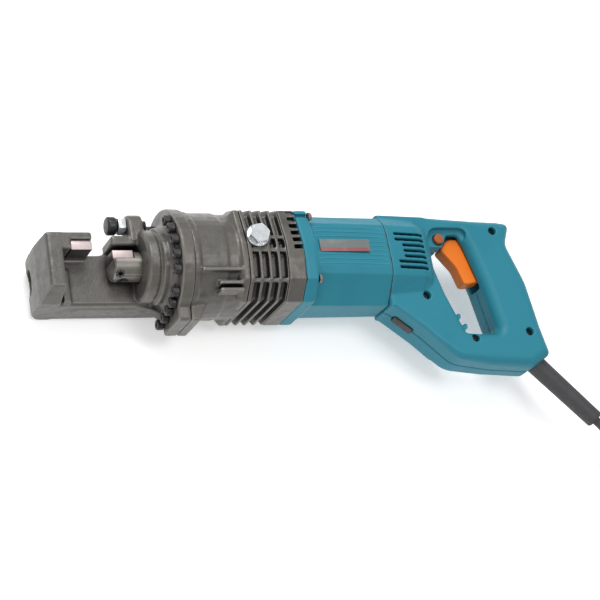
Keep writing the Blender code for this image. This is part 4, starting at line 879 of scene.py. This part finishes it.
def make_handle():
    """Two handle shells with full rounds, their screws, the insert and the controls."""
    for node in ("handle_near_shell", "handle_far_shell"):
        mesh = flowed([solid_of(node)], HANDLE_VOXEL, HANDLE_ROUNDS, round_handle)
        show(f"{node}_look", mesh, "green_plastic", stands_for=(node,))
    pan = lathe([(13.3, 0.0), (13.3, 3.4), (14.6, 3.4), (15.4, 3.1), (16.0, 2.0), (16.1, 0.0)], "n", steps=36)
    mesh = drilled(pan, bar((-0.5, -2.1, 14.8), (0.5, 2.1, 18.0), 0.1),
                   bar((-2.1, -0.5, 14.8), (2.1, 0.5, 18.0), 0.1))
    for index, (along, up) in enumerate(HANDLE_SCREWS):
        name = f"handle_screw_{index + 1}"
        show(f"{name}_look", mesh, "dark_steel", stands_for=(name,), at=(HANDLE_FRONT + along, up, 0.0))
    make_wrench_hooks()
    show("trigger_look", flowed([solid_of("trigger")], TRIGGER_VOXEL, TRIGGER_ROUNDS), "orange_plastic",
         "trigger", ("trigger",))
    softened("lock_button", 0.5, 3)
    softened("strut_insert", 0.6, 3)


SET_SCREW_STATION = 67.2
SET_SCREW_TURN = 46.9     # from the open side towards the grip's side, in degrees


def make_small_parts():
    """Broken edges on the blades, the ram and the stopper, and the ram's socket screw."""
    for node in ("fixed_blade", "moving_blade", "stopper_nut", "fixed_blade_bolt", "moving_blade_bolt",
                 "stopper_bolt"):
        softened(node, BROKEN_EDGE)
    softened("ram", 0.4)
    cup = drilled(lathe([(9.0, 0.0), (9.0, 3.9), (12.7, 3.9), (13.0, 3.6), (13.0, 0.0)], "n", steps=36),
                  prism(hexagon(2.3), 10.6, 14.0))
    cup.transform(Matrix.Translation((SET_SCREW_STATION, 0.0, 0.0))
                  @ Matrix.Rotation(radians(SET_SCREW_TURN), 4, "X"))
    show("ram_set_screw_look", cup, "dark_steel", "ram", ("ram_set_screw",))


def finish_cad():
    """Give every CAD node its slot's procedural finish."""
    for node, item in NODES.items():
        item.data.materials.clear()
        item.data.materials.append(FINISHES[slot_of(node)])


# ---------------------------------------------------------------- stage

FLOOR_RADIUS = 6.0        # metres
FLOOR_DROP = 0.0002       # metres under the tool, so the two never share a plane
FLOOR_GLOW = 0.30
SKY_STRENGTH = 0.62
# Each lamp's name, place and width in metres, and power in watts; all point to the middle.
STAGE_MIDDLE = (0.05, -0.02, 0.05)
LAMPS = [("key", (-0.3, 1.1, 1.5), 0.9, 23.0),
         ("front", (-1.2, -0.9, 0.9), 0.8, 5.0),
         ("top", (0.4, -0.2, 1.9), 0.7, 10.0)]


def area_light(name, spot, size, power):
    """A square soft white light at a spot, turned to the middle of the stage."""
    data = bpy.data.lights.new(name, "AREA")
    data.shape = "SQUARE"
    data.size = size
    data.energy = power
    lamp = bpy.data.objects.new(name, data)
    lamp.location = spot
    lamp.rotation_mode = "QUATERNION"
    lamp.rotation_quaternion = (Vector(STAGE_MIDDLE) - Vector(spot)).to_track_quat("-Z", "Y")
    bpy.context.scene.collection.objects.link(lamp)


def make_stage():
    """A plain pale floor and soft studio light."""
    shape = bmesh.new()
    bmesh.ops.create_circle(shape, cap_ends=True, segments=96, radius=FLOOR_RADIUS)
    mesh = bpy.data.meshes.new("floor")
    shape.to_mesh(mesh)
    shape.free()
    floor = bpy.data.objects.new("floor", mesh)
    floor.location = (0.0, 0.0, -FLOOR_DROP)
    paper = Finish("floor", (0.90, 0.90, 0.90), 0.75)
    paper.tint((0.87, 0.87, 0.87), paper.spread(paper.noise(3.0), 0.4, 0.7))
    paper.shader.inputs["Emission Color"].default_value = (1.0, 1.0, 1.0, 1.0)
    paper.shader.inputs["Emission Strength"].default_value = FLOOR_GLOW
    mesh.materials.append(paper.material)
    bpy.context.scene.collection.objects.link(floor)
    world = bpy.data.worlds.new("world")
    world.use_nodes = True
    world.node_tree.nodes["Background"].inputs["Color"].default_value = (1.0, 1.0, 1.0, 1.0)
    world.node_tree.nodes["Background"].inputs["Strength"].default_value = SKY_STRENGTH
    bpy.context.scene.world = world
    for lamp in LAMPS:
        area_light(*lamp)
    bpy.context.scene.view_settings.view_transform = "Standard"


make_camera()
make_cord()
finish_cad()
make_castings()
make_flange_bolts()
make_oil_plug()
make_motor_casing()
make_handle()
make_small_parts()
make_stage()
